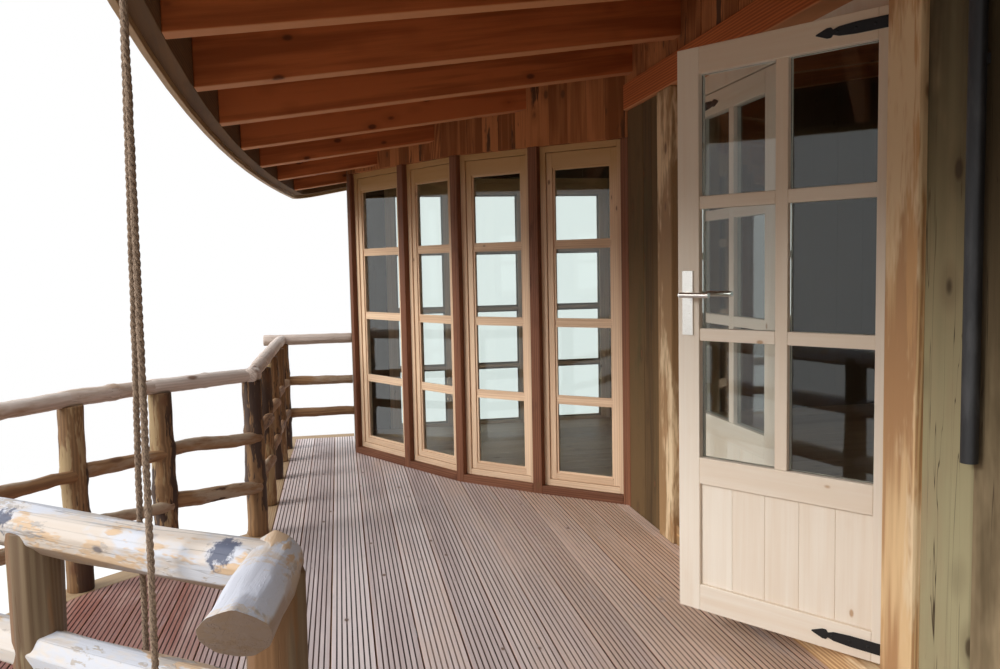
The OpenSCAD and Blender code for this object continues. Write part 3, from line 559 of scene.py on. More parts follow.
guard_post_wood = wood(
    "guard_post", (0.23, 0.16, 0.09), (0.13, 0.072, 0.033), knots=0.8, rings=0.3, bump=0.6, cracks=0.7,
    patches=(((0.2, 0.095, 0.035), 5, 0.12, 0.52, 0.58), ((0.32, 0.25, 0.14), 7, 0.12, 0.56, 0.62)),
)
stilt_wood = wood(
    "stilt_log", (0.42, 0.31, 0.2), (0.25, 0.17, 0.1), knots=1.6, rings=0.3, rough=0.8, bump=0.5,
    cracks=0.8, patches=(((0.15, 0.1, 0.065), 5, 0.3, 0.56, 0.68),),
)
print("round woods ready")

# %% [markdown]
# ## Iron, glass, rope and the rest
# The hinges are forged, the handle is brushed and the roof is covered with a gritty sheet. Pieces that the
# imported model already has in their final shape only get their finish.

# %% Other finishes
f = Finish("black_iron")
dents = f.noise(f.place(160, 160, 160))
f.bump(dents, 0.4, 0.001)
iron = f.look((0.022, 0.022, 0.023), dents * 0.25 + 0.35, Metallic=0.6)

f = Finish("satin_nickel")
brush = f.noise(f.place(60, 60, 900), detail=2)
f.bump(brush, 0.1, 0.0005)
nickel = f.look((0.72, 0.7, 0.66), brush * 0.15 + 0.22, Metallic=1.0)

f = Finish("clear_glass")
f.bump(f.noise(f.place(3, 3, 3), detail=1), 0.02, 0.002)
glass = f.look((0.86, 0.92, 0.9), 0.02, IOR=1.45, **{"Transmission Weight": 1.0})

f = Finish("roof_felt")
grit = f.noise(f.place(220, 220, 220), detail=2)
broad = f.noise(f.place(1.2, 1.2, 1.2))
f.bump(grit, 0.5, 0.002)
felt = f.look(f.mix(grit * 0.5 + broad * 0.5, (0.06, 0.065, 0.06), (0.13, 0.135, 0.12)), 0.9)

f = Finish("pipe_coat")
spots = f.noise(f.place(25, 25, 6), detail=4)
f.bump(spots, 0.2, 0.002)
color = f.mix(spots.between(0.4, 0.75), (0.025, 0.025, 0.027), (0.062, 0.062, 0.066))
pipe_coat = f.look(color, spots * 0.2 + 0.4, Metallic=0.3)

f = Finish("hemp_rope")
fibre = f.noise(f.place(500, 500, 160), detail=4)
broad = f.noise(f.place(9, 9, 9), detail=2)
f.bump(fibre, 0.6, 0.002)
color = f.mix(fibre.between(0.3, 0.7), (0.13, 0.085, 0.06), (0.46, 0.34, 0.25))
hemp_fibre = f.look(f.mix(broad.between(0.45, 0.8) * 0.5, color, (0.25, 0.18, 0.13)), 0.9)

for finish, names in (
    (glass, ("near_leaf_glass", "far_leaf_glass", "bay_window_glass", "plain_window_glass")),
    (iron, ("door_pintles", "rope_hook")), (felt, ("roof_skin",)), (pipe_coat, ("downpipe",)),
    (nickel, ("near_leaf_handle",)),
):
    for name in names:
        coat(cad[name], finish)
print("other finishes ready")

# %% [markdown]
# ## The rope
# Two ends of a laid rope hang from a screw eye under the roof, one on either side of the guard's top log.
# Each of its three strands follows a helix round the route. That is the line through the middles of the
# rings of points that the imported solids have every 45 mm.

# %% Twisted rope along the routes
route_top = 4.5
route_step = 0.045
rope_d = 0.014
rope_pitch = 0.046
strand_r = 0.0036
steps_per_turn = 9


def curve_tube(name, points, radius, sides=1):
    """A tube along points, made from a curve and turned into a mesh."""
    line = bpy.data.curves.new(name, "CURVE")
    line.dimensions = "3D"
    line.bevel_depth = radius
    line.bevel_resolution = sides
    line.use_fill_caps = True
    spline = line.splines.new("POLY")
    spline.points.add(len(points) - 1)
    for point, place_at in zip(spline.points, points):
        point.co = (*place_at, 1.0)
    pick(add(name, line))
    bpy.ops.object.convert(target="MESH")
    return bpy.context.object


def route_of(node):
    """The middle of each ring of a node, from the top down, in whole millimetres."""
    points = read(cad[node].data, "co")
    ring_of = np.rint((route_top - points[:, 2]) / route_step)
    route = []
    for i in range(int(ring_of.max()) + 1):
        ring_points = points[ring_of == i]
        x, y = ((ring_points.min(0) + ring_points.max(0)) / 2).tolist()[:2]
        route.append(Vector((round(x, 3), round(y, 3), route_top - route_step * i)))
    return route


def on_route(route, height):
    """The route's point at a height."""
    t = (route_top - height) / route_step
    i = min(int(t), len(route) - 2)
    return route[i].lerp(route[i + 1], t - i)


def twisted(name, route):
    length = route[0].z - route[-1].z
    count = int(length / rope_pitch * steps_per_turn)
    strands = []
    for k in range(3):
        points = []
        for i in range(count + 1):
            centre = on_route(route, route[0].z - length * i / count)
            angle = 2 * math.pi * (i / steps_per_turn + k / 3)
            points.append(centre + Vector((math.cos(angle), math.sin(angle), 0)) * (rope_d / 2 - strand_r))
        strands.append(curve_tube(f"strand_{k}", points, strand_r))
    return join(name, strands)


def knot(name, centre, height, width):
    """Rope wound on itself three times, with its end tucked through."""
    turns = 3
    steps = 16
    reach = width / 2 - rope_d / 2
    points = []
    for i in range(turns * steps + 1):
        angle = 2 * math.pi * i / steps
        rise = i / (turns * steps) - 0.5
        swell = reach * (0.72 + 0.28 * math.cos(math.pi * rise))
        around = Vector((math.cos(angle) * swell, math.sin(angle) * swell, rise * (height - rope_d)))
        points.append(centre + around)
    core = [centre + Vector((0.002, 0, -height / 2)), centre, centre + Vector((-0.002, 0.001, height / 2))]
    winding = curve_tube("winding", points, rope_d / 2, sides=2)
    return join(name, [winding, curve_tube("core", core, reach * 0.8, sides=2)])


knot_h = 0.042
knot_w = 0.056
knots = {"top_knot": Vector((-2.005, -1.912, route_top + knot_h / 2))}
routes = {}
for name in ("front", "rear"):
    routes[name] = route_of("rope_" + name)
    knots[name + "_knot"] = routes[name][-1] - Vector((0, 0, knot_h / 2))
knot_pieces = {}
for name, centre in knots.items():
    piece = knot("rope_" + name, centre, knot_h, knot_w)
    knot_pieces[name] = hand_over(piece, hemp_fibre, ["rope_knots"], smooth=60)
for name, route in routes.items():
    rope = twisted("hanging_rope_" + name, route)
    hand_over(rope, hemp_fibre, ["rope_" + name], smooth=60)
    with_knots = [knot_pieces[name + "_knot"]] + ([knot_pieces["top_knot"]] if name == "front" else [])

# %% [markdown]
# ## Boards and planks
# A plank starts as a cube at its size and place. Planks of one piece are joined, and their edges are
# softened together.

# %% Planks and boards
x_way = Vector((1, 0, 0))
y_way = Vector((0, 1, 0))


def plank(low, high):
    """A cube from one corner to the other."""
    low, high = Vector(low), Vector(high)
    bpy.ops.mesh.primitive_cube_add(size=1, location=(low + high) / 2, scale=high - low)
    return bpy.context.object


def planks(name, boxes, edge=0.002):
    obj = join(name, [plank(low, high) for low, high in boxes])
    settle()
    return soften(obj, edge)


def facing(origin, direction):
    """Local x runs along the direction and local y to its left, on the level."""
    d = Vector((direction[0], direction[1], 0)).normalized()
    return Matrix(
        ((d.x, -d.y, 0, origin[0]), (d.y, d.x, 0, origin[1]), (0, 0, 1, origin[2]), (0, 0, 0, 1))
    )


def boarded(node, name, cuts, depth_play, edge, seed, normal):
    """Splits a wall's solid into boards at the given planes, (point, direction) pairs in order.
    Each board is pushed in or out a little, so that the joints show."""
    draw = random.Random(seed)
    whole = copy_of(node, "whole")
    boards = []
    for (start, way), (stop, way_on) in zip(cuts, cuts[1:]):
        board = add("board", whole.data.copy())
        keep_side(board, start, way)
        keep_side(board, stop, -way_on)
        if not board.data.polygons:
            bpy.data.objects.remove(board)
            continue
        board.data.transform(Matrix.Translation(Vector(normal) * draw.uniform(-depth_play, 0)))
        boards.append(board)
    bpy.data.objects.remove(whole)
    return soften(join(name, boards), edge, 1)


def joints_along(way, start, stop, widths, seed):
    """Planes square to a direction at random widths, from start to stop."""
    draw = random.Random(seed)
    places = [start - 0.01]
    at = start
    while at < stop - widths[0]:
        at += draw.uniform(*widths)
        places.append(at)
    places[-1] = stop + 0.01
    return [(way * place_at, way) for place_at in places]


print("plank tools ready")

# %% [markdown]
# ## The deck
# Decking boards have grooves along them. The grooves are cut from the boards with a comb of thin bars:
# one bar, repeated over a board and then over all the boards.

# %% Grooved deck boards
board_pitch = 0.15
board_w = 0.145
first_board_x = -3.217
board_total = 21
groove_count = 7
groove_w = 0.0052
groove_depth = 0.0035
comb_y = (-2.4, 3.4)


def grooved_deck():
    deck = soften(copy_of("deck_boards", "grooved_deck"), 0.0015, 1)
    groove_pitch = board_w / (groove_count + 1)
    x = first_board_x + groove_pitch
    low = (x - groove_w / 2, comb_y[0], deck_z - groove_depth)
    comb = plank(low, (x + groove_w / 2, comb_y[1], deck_z + 0.01))
    settle()
    for count, step in ((groove_count, groove_pitch), (board_total, board_pitch)):
        finish_with(
            comb, "ARRAY", count=count, use_relative_offset=False, use_constant_offset=True,
            constant_offset_displace=(step, 0, 0),
        )
    finish_with(deck, "BOOLEAN", object=comb, operation="DIFFERENCE", solver="EXACT")
    bpy.data.objects.remove(comb)
    return deck


hand_over(grooved_deck(), deck_larch, ["deck_boards"])

# %% [markdown]
# ## Beams, joists and floor
# These are sawn timbers. A copy of each solid gets softened edges, which catch the light.

# %% Sawn timbers
for node, name, slot, finish, edge in (
    ("main_beams", "sawn_main_beams", "beam_timber", beam_larch, 0.006),
    ("floor_joists", "sawn_joists", "beam_timber", beam_larch, 0.004),
    ("knee_braces", "sawn_knee_braces", "beam_timber", beam_larch, 0.005),
    ("threshold", "door_step", "waney_timber", jamb_fir, 0.004),
    ("lintel", "door_lintel", "waney_timber", rafter_fir, 0.006),
    ("door_jambs", "waney_jambs", "waney_timber", jamb_fir, 0.008),
    ("door_frame", "slim_door_frame", "door_spruce", spruce, 0.002),
    ("bay_posts", "bay_window_posts", "window_fir", post_fir, 0.005),
    ("bay_base", "bay_base_boards", "waney_timber", post_fir, 0.003),
    ("rafters", "sawn_rafters", "rafter_timber", rafter_fir, 0.004),
    ("eaves_blocking", "eaves_blocks", "eaves_timber", eaves_wood, 0.002),
    ("fascia", "bent_eaves_band", "bent_ply", band_ply, 0.002),
):
    hand_over(soften(copy_of(node, name), edge), finish, [node])

# %% [markdown]
# ## Walls of upright boards
# Each wall's solid is cut into boards of uneven width, and every board gets its own depth and tone. The
# cuts keep the window openings and the notches for the rafters.

# %% Boarded walls
cabin_y = (-3.0, 3.02)
front_x = -0.165
rear_x = 2.85
slab_by_door = (Vector((0, -1.55, 0)), y_way)
for node, name, way, start, stop, widths, normal, finish in (
    ("door_wall_near", "near_slabs", y_way, -2.88, -1.76, (0.17, 0.26), (-1, 0, 0), door_side_slab),
    ("door_wall_far", "dark_slabs", y_way, 0.32, 0.792, (0.1, 0.15), (-1, 0, 0), dark_slab),
    ("wall_over_door", "boards_over_door", y_way, -1.56, 0.792, (0.1, 0.15), (-1, 0, 0), frieze_fir),
    ("near_end_wall", "near_end_slabs", x_way, front_x, rear_x, (0.16, 0.24), (0, -1, 0), green_slab),
    ("far_end_wall", "far_end_slabs", x_way, -1.57, rear_x, (0.16, 0.24), (0, 1, 0), green_slab),
    ("rear_wall", "rear_slabs", y_way, -2.88, 2.9, (0.16, 0.24), (1, 0, 0), green_slab),
    ("bay_return_wall", "bay_return_boards", y_way, 2.64, 2.9, (0.1, 0.13), (-1, 0, 0), dark_slab),
):
    joints = joints_along(way, start, stop, widths, seed=len(name))
    if name == "near_slabs":
        joints.append(slab_by_door)
    hand_over(boarded(node, name, joints, 0.006, 0.004, len(name), normal), finish, [node])

# %% [markdown]
# The wall over the bay windows bends from window to window, so its boards follow the bends. Where two
# stretches meet, the cut halves the angle.

# %% Boards over the bay windows
bay = [Vector(p) for p in ((front_x, 0.83), (-0.581, 1.195), (-0.973, 1.583), (-1.251, 2.05), (-1.57, 2.61))]
frieze_ends = (0.7, 2.62)
frieze_board_w = 0.105


def frieze_cuts():
    cuts = []
    chain = [Vector((front_x, frieze_ends[0]))] + bay
    ways = [(b - a).normalized() for a, b in zip(chain, chain[1:])]
    for i in range(1, len(chain) - 1):
        count = round((chain[i + 1] - chain[i]).length / frieze_board_w)
        for k in range(count):
            turn = ways[i] if k else (ways[i] + ways[i - 1]).normalized()
            cuts.append((chain[i].lerp(chain[i + 1], k / count).to_3d(), turn.to_3d()))
    start, stop = ((Vector((0, y, 0)), y_way) for y in frieze_ends)
    return [start] + cuts + [stop]


frieze = boarded("bay_frieze_wall", "bay_frieze_boards", frieze_cuts(), 0.005, 0.003, 5, (-0.7, -0.7, 0))
hand_over(frieze, frieze_fir, ["bay_frieze_wall"])

# %% [markdown]
# ## Windows
# A window is a fixed frame with a sash set back in it, bars across the sash and thin beads that hold
# the glass. The same function makes the tall bay windows and the plain ones.

# %% Window joinery
frame_w = 0.034
frame_depth = 0.054
sash_w = 0.038
sash_head_w = 0.086
sash_gap = 0.003
sash_set = 0.008
bar_w = 0.026
bar_t = 0.028
bead_w = 0.012
pane_play = 0.004


def ring(low, high, width, head, y0, y1):
    """Two uprights with two cross pieces between them, from a lower left to an upper right corner."""
    (x0, z0), (x1, z1) = low, high
    return [
        ((x0, y0, z0), (x0 + width, y1, z1)),
        ((x1 - width, y0, z0), (x1, y1, z1)),
        ((x0 + width, y0, z0), (x1 - width, y1, z0 + width)),
        ((x0 + width, y0, z1 - head), (x1 - width, y1, z1)),
    ]


def window(name, w, h, bars):
    rim = frame_w + sash_w
    middle = -(frame_depth + sash_set) / 2
    inset = frame_w + sash_gap
    boxes = ring((0, 0), (w, h), frame_w, frame_w, -frame_depth, 0)
    boxes += ring((frame_w,) * 2, (w - frame_w, h - frame_w), sash_gap, sash_gap, -frame_depth, middle)
    boxes += ring(
        (inset,) * 2, (w - inset, h - inset), sash_w - sash_gap, sash_head_w - sash_gap,
        -frame_depth + 0.002, -sash_set,
    )
    pane_h = (h - rim - (frame_w + sash_head_w) - bars * bar_w) / (bars + 1)
    for i in range(bars + 1):
        z = rim + i * (pane_h + bar_w)
        if i:
            boxes.append(((rim, middle - bar_t / 2, z - bar_w), (w - rim, middle + bar_t / 2, z)))
        y0 = middle + pane_play
        boxes += ring((rim, z), (w - rim, z + pane_h), bead_w, bead_w, y0, y0 + bead_w)
    return planks(name, boxes)


print("window tools ready")

# %% [markdown]
# The bay's windows stand between its posts. Of the plain windows one is made and then copied to each
# opening of the rear and end walls.

# %% Windows at their places
win_low = 0.045
win_h = 1.94 - win_low
post_half = 0.03
set_back = Matrix.Translation((0, -0.036, 0))
bay_windows = []
for i in range(4):
    way = bay[i + 1] - bay[i]
    unit = window(f"bay_window_{i}", way.length - 2 * post_half, win_h, 3)
    shift = Matrix.Translation((post_half, 0, win_low)) @ set_back
    bay_windows.append(place(unit, facing((bay[i].x, bay[i].y, deck_z), way) @ shift))
hand_over(join("bay_windows", bay_windows), window_fir, ["bay_window_frames"])

plain_w = 0.7
plain_z = deck_z + 0.85
plain_spots = [facing((rear_x, y + plain_w, plain_z), (0, -1)) for y in (-2.3, -0.95, 0.35, 1.7)]
plain_spots += [facing((x + plain_w, cabin_y[0], plain_z), (-1, 0)) for x in (0.35, 1.7)]
tall_spots = [facing((x, cabin_y[1], deck_z + win_low), (1, 0)) for x in (-1.3, -0.74, -0.1)]
plain = window("plain_windows", plain_w, 1.0, 1)
tall = window("tall_windows", 0.5, win_h, 3)
units = []
for first, spots in ((plain, plain_spots), (tall, tall_spots)):
    units += [place(add("window", first.data.copy()), spot @ set_back) for spot in spots]
    bpy.data.objects.remove(first)
hand_over(join("plain_windows", units), window_fir, ["plain_window_frames"])

# %% [markdown]
# ## The door leaves
# A leaf is joinery too: two stiles, three rails, a mullion and two bars between the panes, and a panel of
# tongued boards at its foot. It is built closed, with its pin at the origin, and then swung into place.

# %% Door leaves
leaf_x = (0.01, 0.055)
leaf_y = (0.005, 0.754)
leaf_h = 1.89
stile_w = 0.082
rails = ((0, 0.09), (0.44, 0.53), (1.802, leaf_h))
glazing_w = 0.042
pane_h = 0.396
bar_inset = 0.004
panel_boards = 5
panel_x = (0.0225, 0.0425)
near_open = math.radians(34.3)


def leaf_boxes(way):
    """Boxes of a leaf that lies from its pin towards +Y (way 1) or -Y (way -1)."""
    y0, y3 = leaf_y
    y1, y2 = y0 + stile_w, y3 - stile_w
    x0, x1 = leaf_x
    boxes = [((x0, y0, 0), (x1, y1, leaf_h)), ((x0, y2, 0), (x1, y3, leaf_h))]
    boxes += [((x0, y1, low), (x1, y2, high)) for low, high in rails]
    middle = (y1 + y2) / 2
    left, right = middle - glazing_w / 2, middle + glazing_w / 2
    x0, x1 = x0 + bar_inset, x1 - bar_inset
    low = rails[1][1]
    boxes.append(((x0, left, low), (x1, right, rails[2][0])))
    for i in (1, 2):
        z = low + i * pane_h + (i - 1) * glazing_w
        boxes += [((x0, a, z), (x1, b, z + glazing_w)) for a, b in ((y1, left), (right, y2))]
    width = (y2 - y1) / panel_boards
    for i in range(panel_boards):
        a, b = y1 + i * width, y1 + (i + 1) * width
        boxes.append(((panel_x[0], a, rails[0][1]), (panel_x[1], b, rails[1][0])))
    if way > 0:
        return boxes
    return [((a[0], -b[1], a[2]), (b[0], -a[1], b[2])) for a, b in boxes]


leaf_places = {
    "near": (1, Matrix.Translation((-0.1, -1.393, floor_z)) @ Matrix.Rotation(near_open, 4, "Z")),
    "far": (-1, Matrix.Translation((-0.1, 0.123, floor_z))),
}
for side, (way, spot) in leaf_places.items():
    leaf = place(planks(side + "_leaf_joinery", leaf_boxes(way), 0.0025), spot)
    nodes = [side + "_leaf_frame", side + "_leaf_panel"]
    hand_over(leaf, spruce, nodes, body=side + "_door")

# %% [markdown]
# A strap hinge is a flat bar that narrows, flares once and ends in a point. It is drawn out of one short
# bar by extruding its end face again and again.

# %% Strap hinges
strap_w = 0.034
strap_t = 0.004
bar_end = 0.15
pin_r = 0.008
screw_r = 0.0045


def strap(name, z):
    bar = plank((leaf_x[0] - strap_t, 0.0, z - strap_w / 2), (leaf_x[0], bar_end, z + strap_w / 2))
    settle()
    open_where(bar, "FACE", lambda face: face.normal.dot(y_way) > 0.99)
    for reach, scale in ((0.05, 0.8), (0.018, 0.55), (0.006, 2.0), (0.012, 1.0), (0.034, 0.12)):
        bpy.ops.mesh.extrude_region_move(TRANSFORM_OT_translate={"value": (0, reach, 0)})
        bpy.ops.transform.resize(value=(1, 1, scale))
    mode("OBJECT")
    soften(bar, 0.0008, 1)
    bpy.ops.mesh.primitive_cylinder_add(vertices=24, radius=pin_r, depth=strap_w, location=(0, 0, z))
    parts = [bar, soften(bpy.context.object, 0.001)]
    for y in (0.04, 0.095, 0.15, 0.205):
        bpy.ops.mesh.primitive_uv_sphere_add(
            segments=12, ring_count=6, radius=screw_r, location=(leaf_x[0] - strap_t, y, z), scale=(0.5, 1, 1)
        )
        parts.append(bpy.context.object)
    obj = join(name, parts)
    settle()
    return obj


for side, (way, spot) in leaf_places.items():
    straps = join(side + "_strap_hinges", [strap(f"strap_{z}", z) for z in (0.045, 1.845)])
    if way < 0:
        place(straps, Matrix.Scale(-1, 4, (0, 1, 0)))
        open_mesh()
        bpy.ops.mesh.normals_make_consistent(inside=False)
        mode("OBJECT")
    place(straps, spot)
    hand_over(straps, iron, [side + "_leaf_straps"], smooth=40, body=side + "_door")

# %% [markdown]
# ## Round wood
# Posts, rails and logs grow, they aren't turned. A cone is cut into rings along its length, some rings
# swell where a branch was cut off, and two displacements work on it: a broad one makes the pole crooked,
# a fine one gives it lumps.

# %% Poles
def cloud(name, size, depth):
    texture = bpy.data.textures.new(name, "CLOUDS")
    texture.noise_scale = size
    texture.noise_depth = depth
    return texture


broad_cloud = cloud("broad_swell", 0.3, 1)
lump_cloud = cloud("lumps", 0.07, 2)


def swell(obj, texture, strength, direction="NORMAL"):
    return finish_with(
        obj, "DISPLACE", texture=texture, texture_coords="GLOBAL", direction=direction, strength=strength,
        mid_level=0.5,
    )


def rod(name, length, r0, r1, sides, rings, edge):
    """A cone on the Z axis, softened at its ends and cut into rings."""
    bpy.ops.mesh.primitive_cone_add(vertices=sides, radius1=r0, radius2=r1, depth=length)
    obj = bpy.context.object
    obj.name = name
    if edge:
        soften(obj, edge)

    def is_long(edge_found):
        a, b = (obj.data.vertices[i].co for i in edge_found.vertices)
        return abs(a.z - b.z) > length * 0.5

    open_where(obj, "EDGE", is_long)
    bpy.ops.mesh.subdivide(number_cuts=rings)
    mode("OBJECT")
    return obj


def stand_between(obj, start, stop):
    """Turns a rod from the Z axis into the line from start to stop."""
    turn = (stop - start).to_track_quat("Z", "Y").to_matrix().to_4x4()
    return place(obj, Matrix.Translation((start + stop) / 2) @ turn)


def pole(
    name, start, stop, r0, r1, lumps=0.004, crook=0.006, sides=18, rings=16, edge=0.004, collars=(), flat=1.0,
    point=False,
):
    """A round timber from start to stop, r0 thick at its start and r1 at its end. Collars are shares of
    the length where it swells. Flat squeezes it sideways, and point cuts its end to a blunt wedge."""
    length = (stop - start).length
    obj = rod(name, length, r0, r1, sides, rings, edge)
    for share in collars:
        z = (share - 0.5) * length
        open_where(obj, "VERT", lambda v: abs(v.co.z - z) < length / rings * 0.6)
        bpy.ops.transform.resize(value=(1.1, 1.1, 1))
        mode("OBJECT")
    if point:
        open_where(obj, "VERT", lambda v: v.co.z > length / 2 - edge * 1.5)
        bpy.ops.transform.resize(value=(0.35, 0.75, 1))
        mode("OBJECT")
    if flat != 1:
        bpy.ops.transform.resize(value=(flat, 1, 1))
        settle()
    stand_between(obj, start, stop)
    swell(obj, broad_cloud, crook * 2, "RGB_TO_XYZ")
    return swell(obj, lump_cloud, lumps * 2)


print("pole tools ready")

# %% [markdown]
# The guard's logs were peeled with a draw knife, which leaves long flat cuts. So their rods have few sides
# and few rings. Every point is pushed a little at random, and the edges between the cuts are rounded.

# %% Peeled logs
def peeled(name, start, stop, r0, r1, seed, sides=9, ring_step=0.28, rough=0.006, edge=0.004):
    length = (stop - start).length
    obj = rod(name, length, r0, r1, sides, max(1, round(length / ring_step)), 0)
    open_mesh()
    bpy.ops.transform.vertex_random(offset=rough, seed=seed)
    mode("OBJECT")
    stand_between(obj, start, stop)
    soften(obj, edge, 3, 0.12)
    return swell(obj, broad_cloud, 0.006)


print("peeling ready")

# %% [markdown]
# ## Stilts
# Each stilt is a long log that narrows a little towards its head, with two rings of cut branches. It is
# made too long at its foot and then sawn off level on the ground.

# %% Stilts
for node in ("stilts_terrace", "stilts_cabin"):
    logs = []
    for low, high in boxes_of(node):
        middle = (low + high) / 2
        foot = Vector((middle.x, middle.y, low.z - 0.02))
        head = Vector((middle.x, middle.y, high.z))
        radius = (high.x - low.x) / 2 - 0.006
        log = pole(
            "log", foot, head, radius, radius * 0.93, lumps=0.006, crook=0.004, sides=28, rings=28,
            collars=(0.31, 0.66),
        )
        logs.append(keep_side(log, (0, 0, low.z), (0, 0, 1)))
    hand_over(join(node.replace("stilts", "log_stilts"), logs), stilt_wood, [node], smooth=50)

# %% [markdown]
# ## Railing
# Posts with collars of cut branches carry the top rails, which pass a little over each post. Thickness,
# collars and lift are drawn at random, because no two poles are the same.

# %% Railing posts and top rails
rail_points = (
    (-3.15, -1.01), (-3.18, -0.48), (-2.735, 0.185), (-2.445, 0.47), (-2.08, 0.78), (-2.08, 1.34),
    (-2.08, 1.96), (-2.08, 2.47), (-2.07, 2.89),
)
rail_line = [Vector(p) for p in rail_points]
bay_x = -1.57
post_h = 0.762
post_r = 0.0525
rail_z = 0.79
rail_r = 0.0375
smooth_rail = {"lumps": 0.003, "edge": 0.006}


def at_height(p, z):
    return Vector((p.x, p.y, deck_z + z))


draw = random.Random(3)
logs = []
for p in rail_line:
    r = post_r - draw.uniform(0.0, 0.004)
    collars = (draw.uniform(0.3, 0.42), draw.uniform(0.58, 0.74))
    ends = (at_height(p, 0), at_height(p, post_h))
    logs.append(pole("post", *ends, r, r * 0.95, crook=0.004, rings=24, collars=collars))
hand_over(join("railing_post_poles", logs), pole_wood, ["railing_posts"], smooth=50)

logs = []
for a, b in zip(rail_line, rail_line[1:]):
    way = (b - a).normalized()
    r = rail_r - draw.uniform(0, 0.003)
    ends = (at_height(a - way * 0.045, rail_z), at_height(b + way * 0.035, rail_z))
    collars = (draw.uniform(0.3, 0.7),)
    logs.append(pole("rail", *ends, r, r - 0.003, rings=24, collars=collars, crook=0.005, **smooth_rail))
corner = rail_line[-1]
house_end = Vector((bay_x, corner.y))
ends = (at_height(corner - Vector((0.125, 0)), rail_z), at_height(house_end, rail_z))
logs.append(pole("rail", *ends, rail_r, rail_r - 0.002, crook=0.003, **smooth_rail))
hand_over(join("top_rail_logs", logs), rail_wood, ["railing_top_rails"], smooth=50)

# %% [markdown]
# Between the posts run crooked branches. Each starts against one post and ends in a blunt wedge on the
# deck side of the next.

# %% Crooked rails
branch_heights = (0.255, 0.49)
logs = []
for a, b in zip(rail_line, rail_line[1:]):
    way = (b - a).normalized()
    deck_side = Vector((way.y, -way.x))
    for h in branch_heights:
        r = 0.036 - draw.uniform(0, 0.004)
        lift = draw.uniform(-0.014, 0.014)
        start = at_height(a + way * 0.035, h + lift)
        stop = at_height(b + way * 0.02 + deck_side * 0.034, h - lift)
        crooked = {"lumps": 0.005, "crook": 0.016, "flat": 0.8, "point": True}
        logs.append(pole("branch", start, stop, r, r - 0.005, sides=16, rings=22, **crooked))
for h in branch_heights:
    ends = (at_height(corner + Vector((0.03, 0)), h), at_height(house_end, h))
    logs.append(pole("branch", *ends, 0.034, 0.03, crook=0.01, sides=16))
hand_over(join("branch_rails", logs), branch_wood, ["railing_branch_rails"], smooth=50)

# %% [markdown]
# ## The guard beside the entrance
# Three thick peeled logs run from a corner post to the railing. A short log lies over that corner and
# shows its sawn end, which was cut at a slant. A bisect makes the slant.

# %% Guard of thick peeled logs
guard_corner = Vector((-1.778, -2.055))
guard_mid = Vector((-2.29, -1.665))
guard_h = 0.77
guard_r = 0.052
guard_post_r = 0.058
slant = math.radians(39)
logs = []
for seed, p in enumerate((guard_corner, guard_mid)):
    ends = (at_height(p, 0), at_height(p, guard_h))
    logs.append(peeled("post", *ends, guard_post_r, guard_post_r - 0.004, seed, ring_step=0.35))
hand_over(join("guard_post_logs", logs), guard_post_wood, ["guard_posts"], smooth=30)
logs = []
for seed, h in enumerate((guard_h, 0.22, 0.51), 5):
    ends = (at_height(guard_corner, h), at_height(rail_line[0], h))
    logs.append(peeled("log", *ends, guard_r - 0.002, guard_r - 0.007, seed))
start = at_height(guard_corner + Vector((0, 0.055)), guard_h)
stop = at_height(Vector((-1.815, -2.375)), guard_h)
hewn = {"sides": 11, "ring_step": 0.09, "rough": 0.009, "edge": 0.006}
short_log = peeled("log", start, stop, guard_r - 0.001, guard_r, 11, **hewn)
keep_side(short_log, stop + Vector((0, 0.004, guard_r)), (0, math.cos(slant), math.sin(slant)))
logs.append(soften(short_log, 0.005))
hand_over(join("guard_rail_logs", logs), peeled_log, ["guard_logs"], smooth=30)

# %% [markdown]
# ## Edge beam
# The beam round the terrace is a chain of straight timbers. Each is a plank, cut at both ends along the
# plane that halves the corner.

# %% Edge beam
edge_chain = [Vector((front_x, -2.19)), Vector((-1.65, -2.19)), guard_corner, guard_mid] + rail_line
edge_chain += [Vector((-2.07, 3.29)), Vector((-1.57, 3.29))]
edge_half = 0.06
edge_h = 0.19
mitre_reach = 0.2


def mitred_beam(chain, half, z0, z1):
    parts = []
    ways = [(b - a).normalized() for a, b in zip(chain, chain[1:])]
    last = len(ways) - 1
    for i, way in enumerate(ways):
        a, b = chain[i], chain[i + 1]
        start = a - way * (mitre_reach if i else 0)
        stop = b + way * (mitre_reach if i < last else 0)
        beam = plank((0, -half, z0), ((stop - start).length, half, z1))
        settle()
        place(beam, facing((start.x, start.y, 0), way))
        if i:
            keep_side(beam, a.to_3d(), (way + ways[i - 1]).normalized().to_3d())
        if i < last:
            keep_side(beam, b.to_3d(), -(way + ways[i + 1]).normalized().to_3d())
        parts.append(beam)
    return soften(join("terrace_edge_beam", parts), 0.004)


beam = mitred_beam(edge_chain, edge_half, deck_z - edge_h, deck_z)
hand_over(beam, beam_larch, ["deck_edge_beam"])

# %% [markdown]
# ## Floor, roof boards and noggins
# Floor and roof are boarded like the walls, with boards of one width. Short noggins between the joists
# keep them upright. A row of them runs under one gap of the deck.

# %% Boards of floor and roof
up = (0, 0, 1)
for node, name, ends, board, edge, slot, finish in (
    ("cabin_floor", "floor_boards", cabin_y, 0.18, 0.0015, "room_floor", floor_pine),
    ("roof_boards", "roof_deck_boards", (-3.4, 3.3), 0.14, 0.003, "rafter_timber", roof_fir),
):
    joints = joints_along(y_way, *ends, (board, board), 1)
    hand_over(boarded(node, name, joints, 0, edge, 1, up), finish, [node])

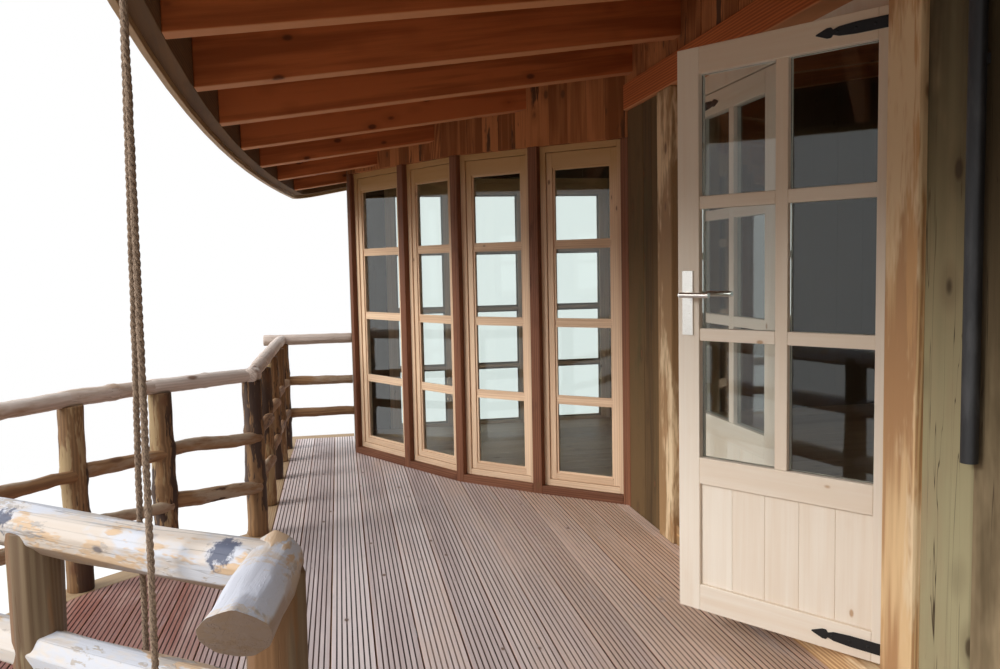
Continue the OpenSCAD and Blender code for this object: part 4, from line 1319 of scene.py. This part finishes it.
noggin_x = -1.573
noggin_half = 0.0225
noggin_h = 0.12
joists = [box for box in boxes_of("floor_joists") if box[0].x < noggin_x]
noggins = [
    ((noggin_x - noggin_half, a[1].y, b[1].z - noggin_h), (noggin_x + noggin_half, b[0].y, b[1].z))
    for a, b in zip(joists, joists[1:])
]
hand_over(planks("deck_noggins", noggins, 0.003), beam_larch)

# %% [markdown]
# ## Floor, backdrop and light
# The house stands on a wide pale floor that keeps its shadow. Seen straight, by reflection or through
# glass, the world is plain white, and far from the house the floor turns white as well, so that no horizon
# shows. The light that falls on the house stays level and soft: a sky that is weaker and warmer low down,
# where trees would stand, one wide sun, and a floor that throws back only as much light as plain ground.

# %% Stage
def seen_directly(graph):
    """1 for rays from the camera, reflections and rays through glass, 0 for light."""
    names = ("Is Camera Ray", "Is Glossy Ray", "Is Transmission Ray")
    straight, mirrored, through = (graph.node("LightPath", output=name) for name in names)
    return through.maths("MAXIMUM", straight.maths("MAXIMUM", straight, mirrored), through)


def either(graph, amount, first, second):
    """The first shader where amount is 0, the second where it is 1."""
    return graph.node("MixShader", {}, (amount, first, second))


f = Finish("pale_floor")
seen = seen_directly(f)
f.look(f.mix(seen, (0.26, 0.2, 0.14), (0.8, 0.8, 0.79)), f.noise(f.place(3, 3, 3)) * 0.1 + 0.85)
far = f.vector("LENGTH", f.place(1, 1, 0), output="Value").between(6, 17)
white = f.node("Emission", {}, {"Color": (1, 1, 1), "Strength": 1.0})
surface = either(f, far * seen, Value(f, f.shader.outputs[0]), white)
f.feed(f.tree.nodes["Material Output"].inputs["Surface"], surface)
bpy.ops.mesh.primitive_plane_add(size=600, location=(0, 0, -0.001))
ground = bpy.context.object
ground.name = "floor"
coat(ground, f.material)

bpy.context.scene.world = bpy.data.worlds.new("studio")
sky = Graph(bpy.context.scene.world)
height = sky.node("SeparateXYZ", {}, (sky.node("TexCoord", output="Generated"),), output="Z")
heights = {"From Min": 0.1, "From Max": 0.5, "To Min": 0.14, "To Max": 1.3}
rise = sky.node("MapRange", {}, {"Value": height, **heights})
warm_to_cool = sky.mix(rise, (1.0, 0.78, 0.52), (0.92, 0.97, 1.0))
light = sky.node("Background", {}, {"Color": warm_to_cool, "Strength": rise})
white = sky.node("Background", {}, {"Color": (1, 1, 1)})
surface = either(sky, seen_directly(sky), light, white)
sky.feed(sky.tree.nodes["World Output"].inputs["Surface"], surface)

bpy.ops.object.light_add(type="SUN", rotation=(math.radians(63), 0, math.radians(-76)))
key_light = bpy.context.object.data
key_light.energy = 2.3
key_light.angle = math.radians(32)
key_light.color = (1.0, 0.97, 0.92)
bpy.context.scene.view_settings.view_transform = "Standard"
print("stage ready")
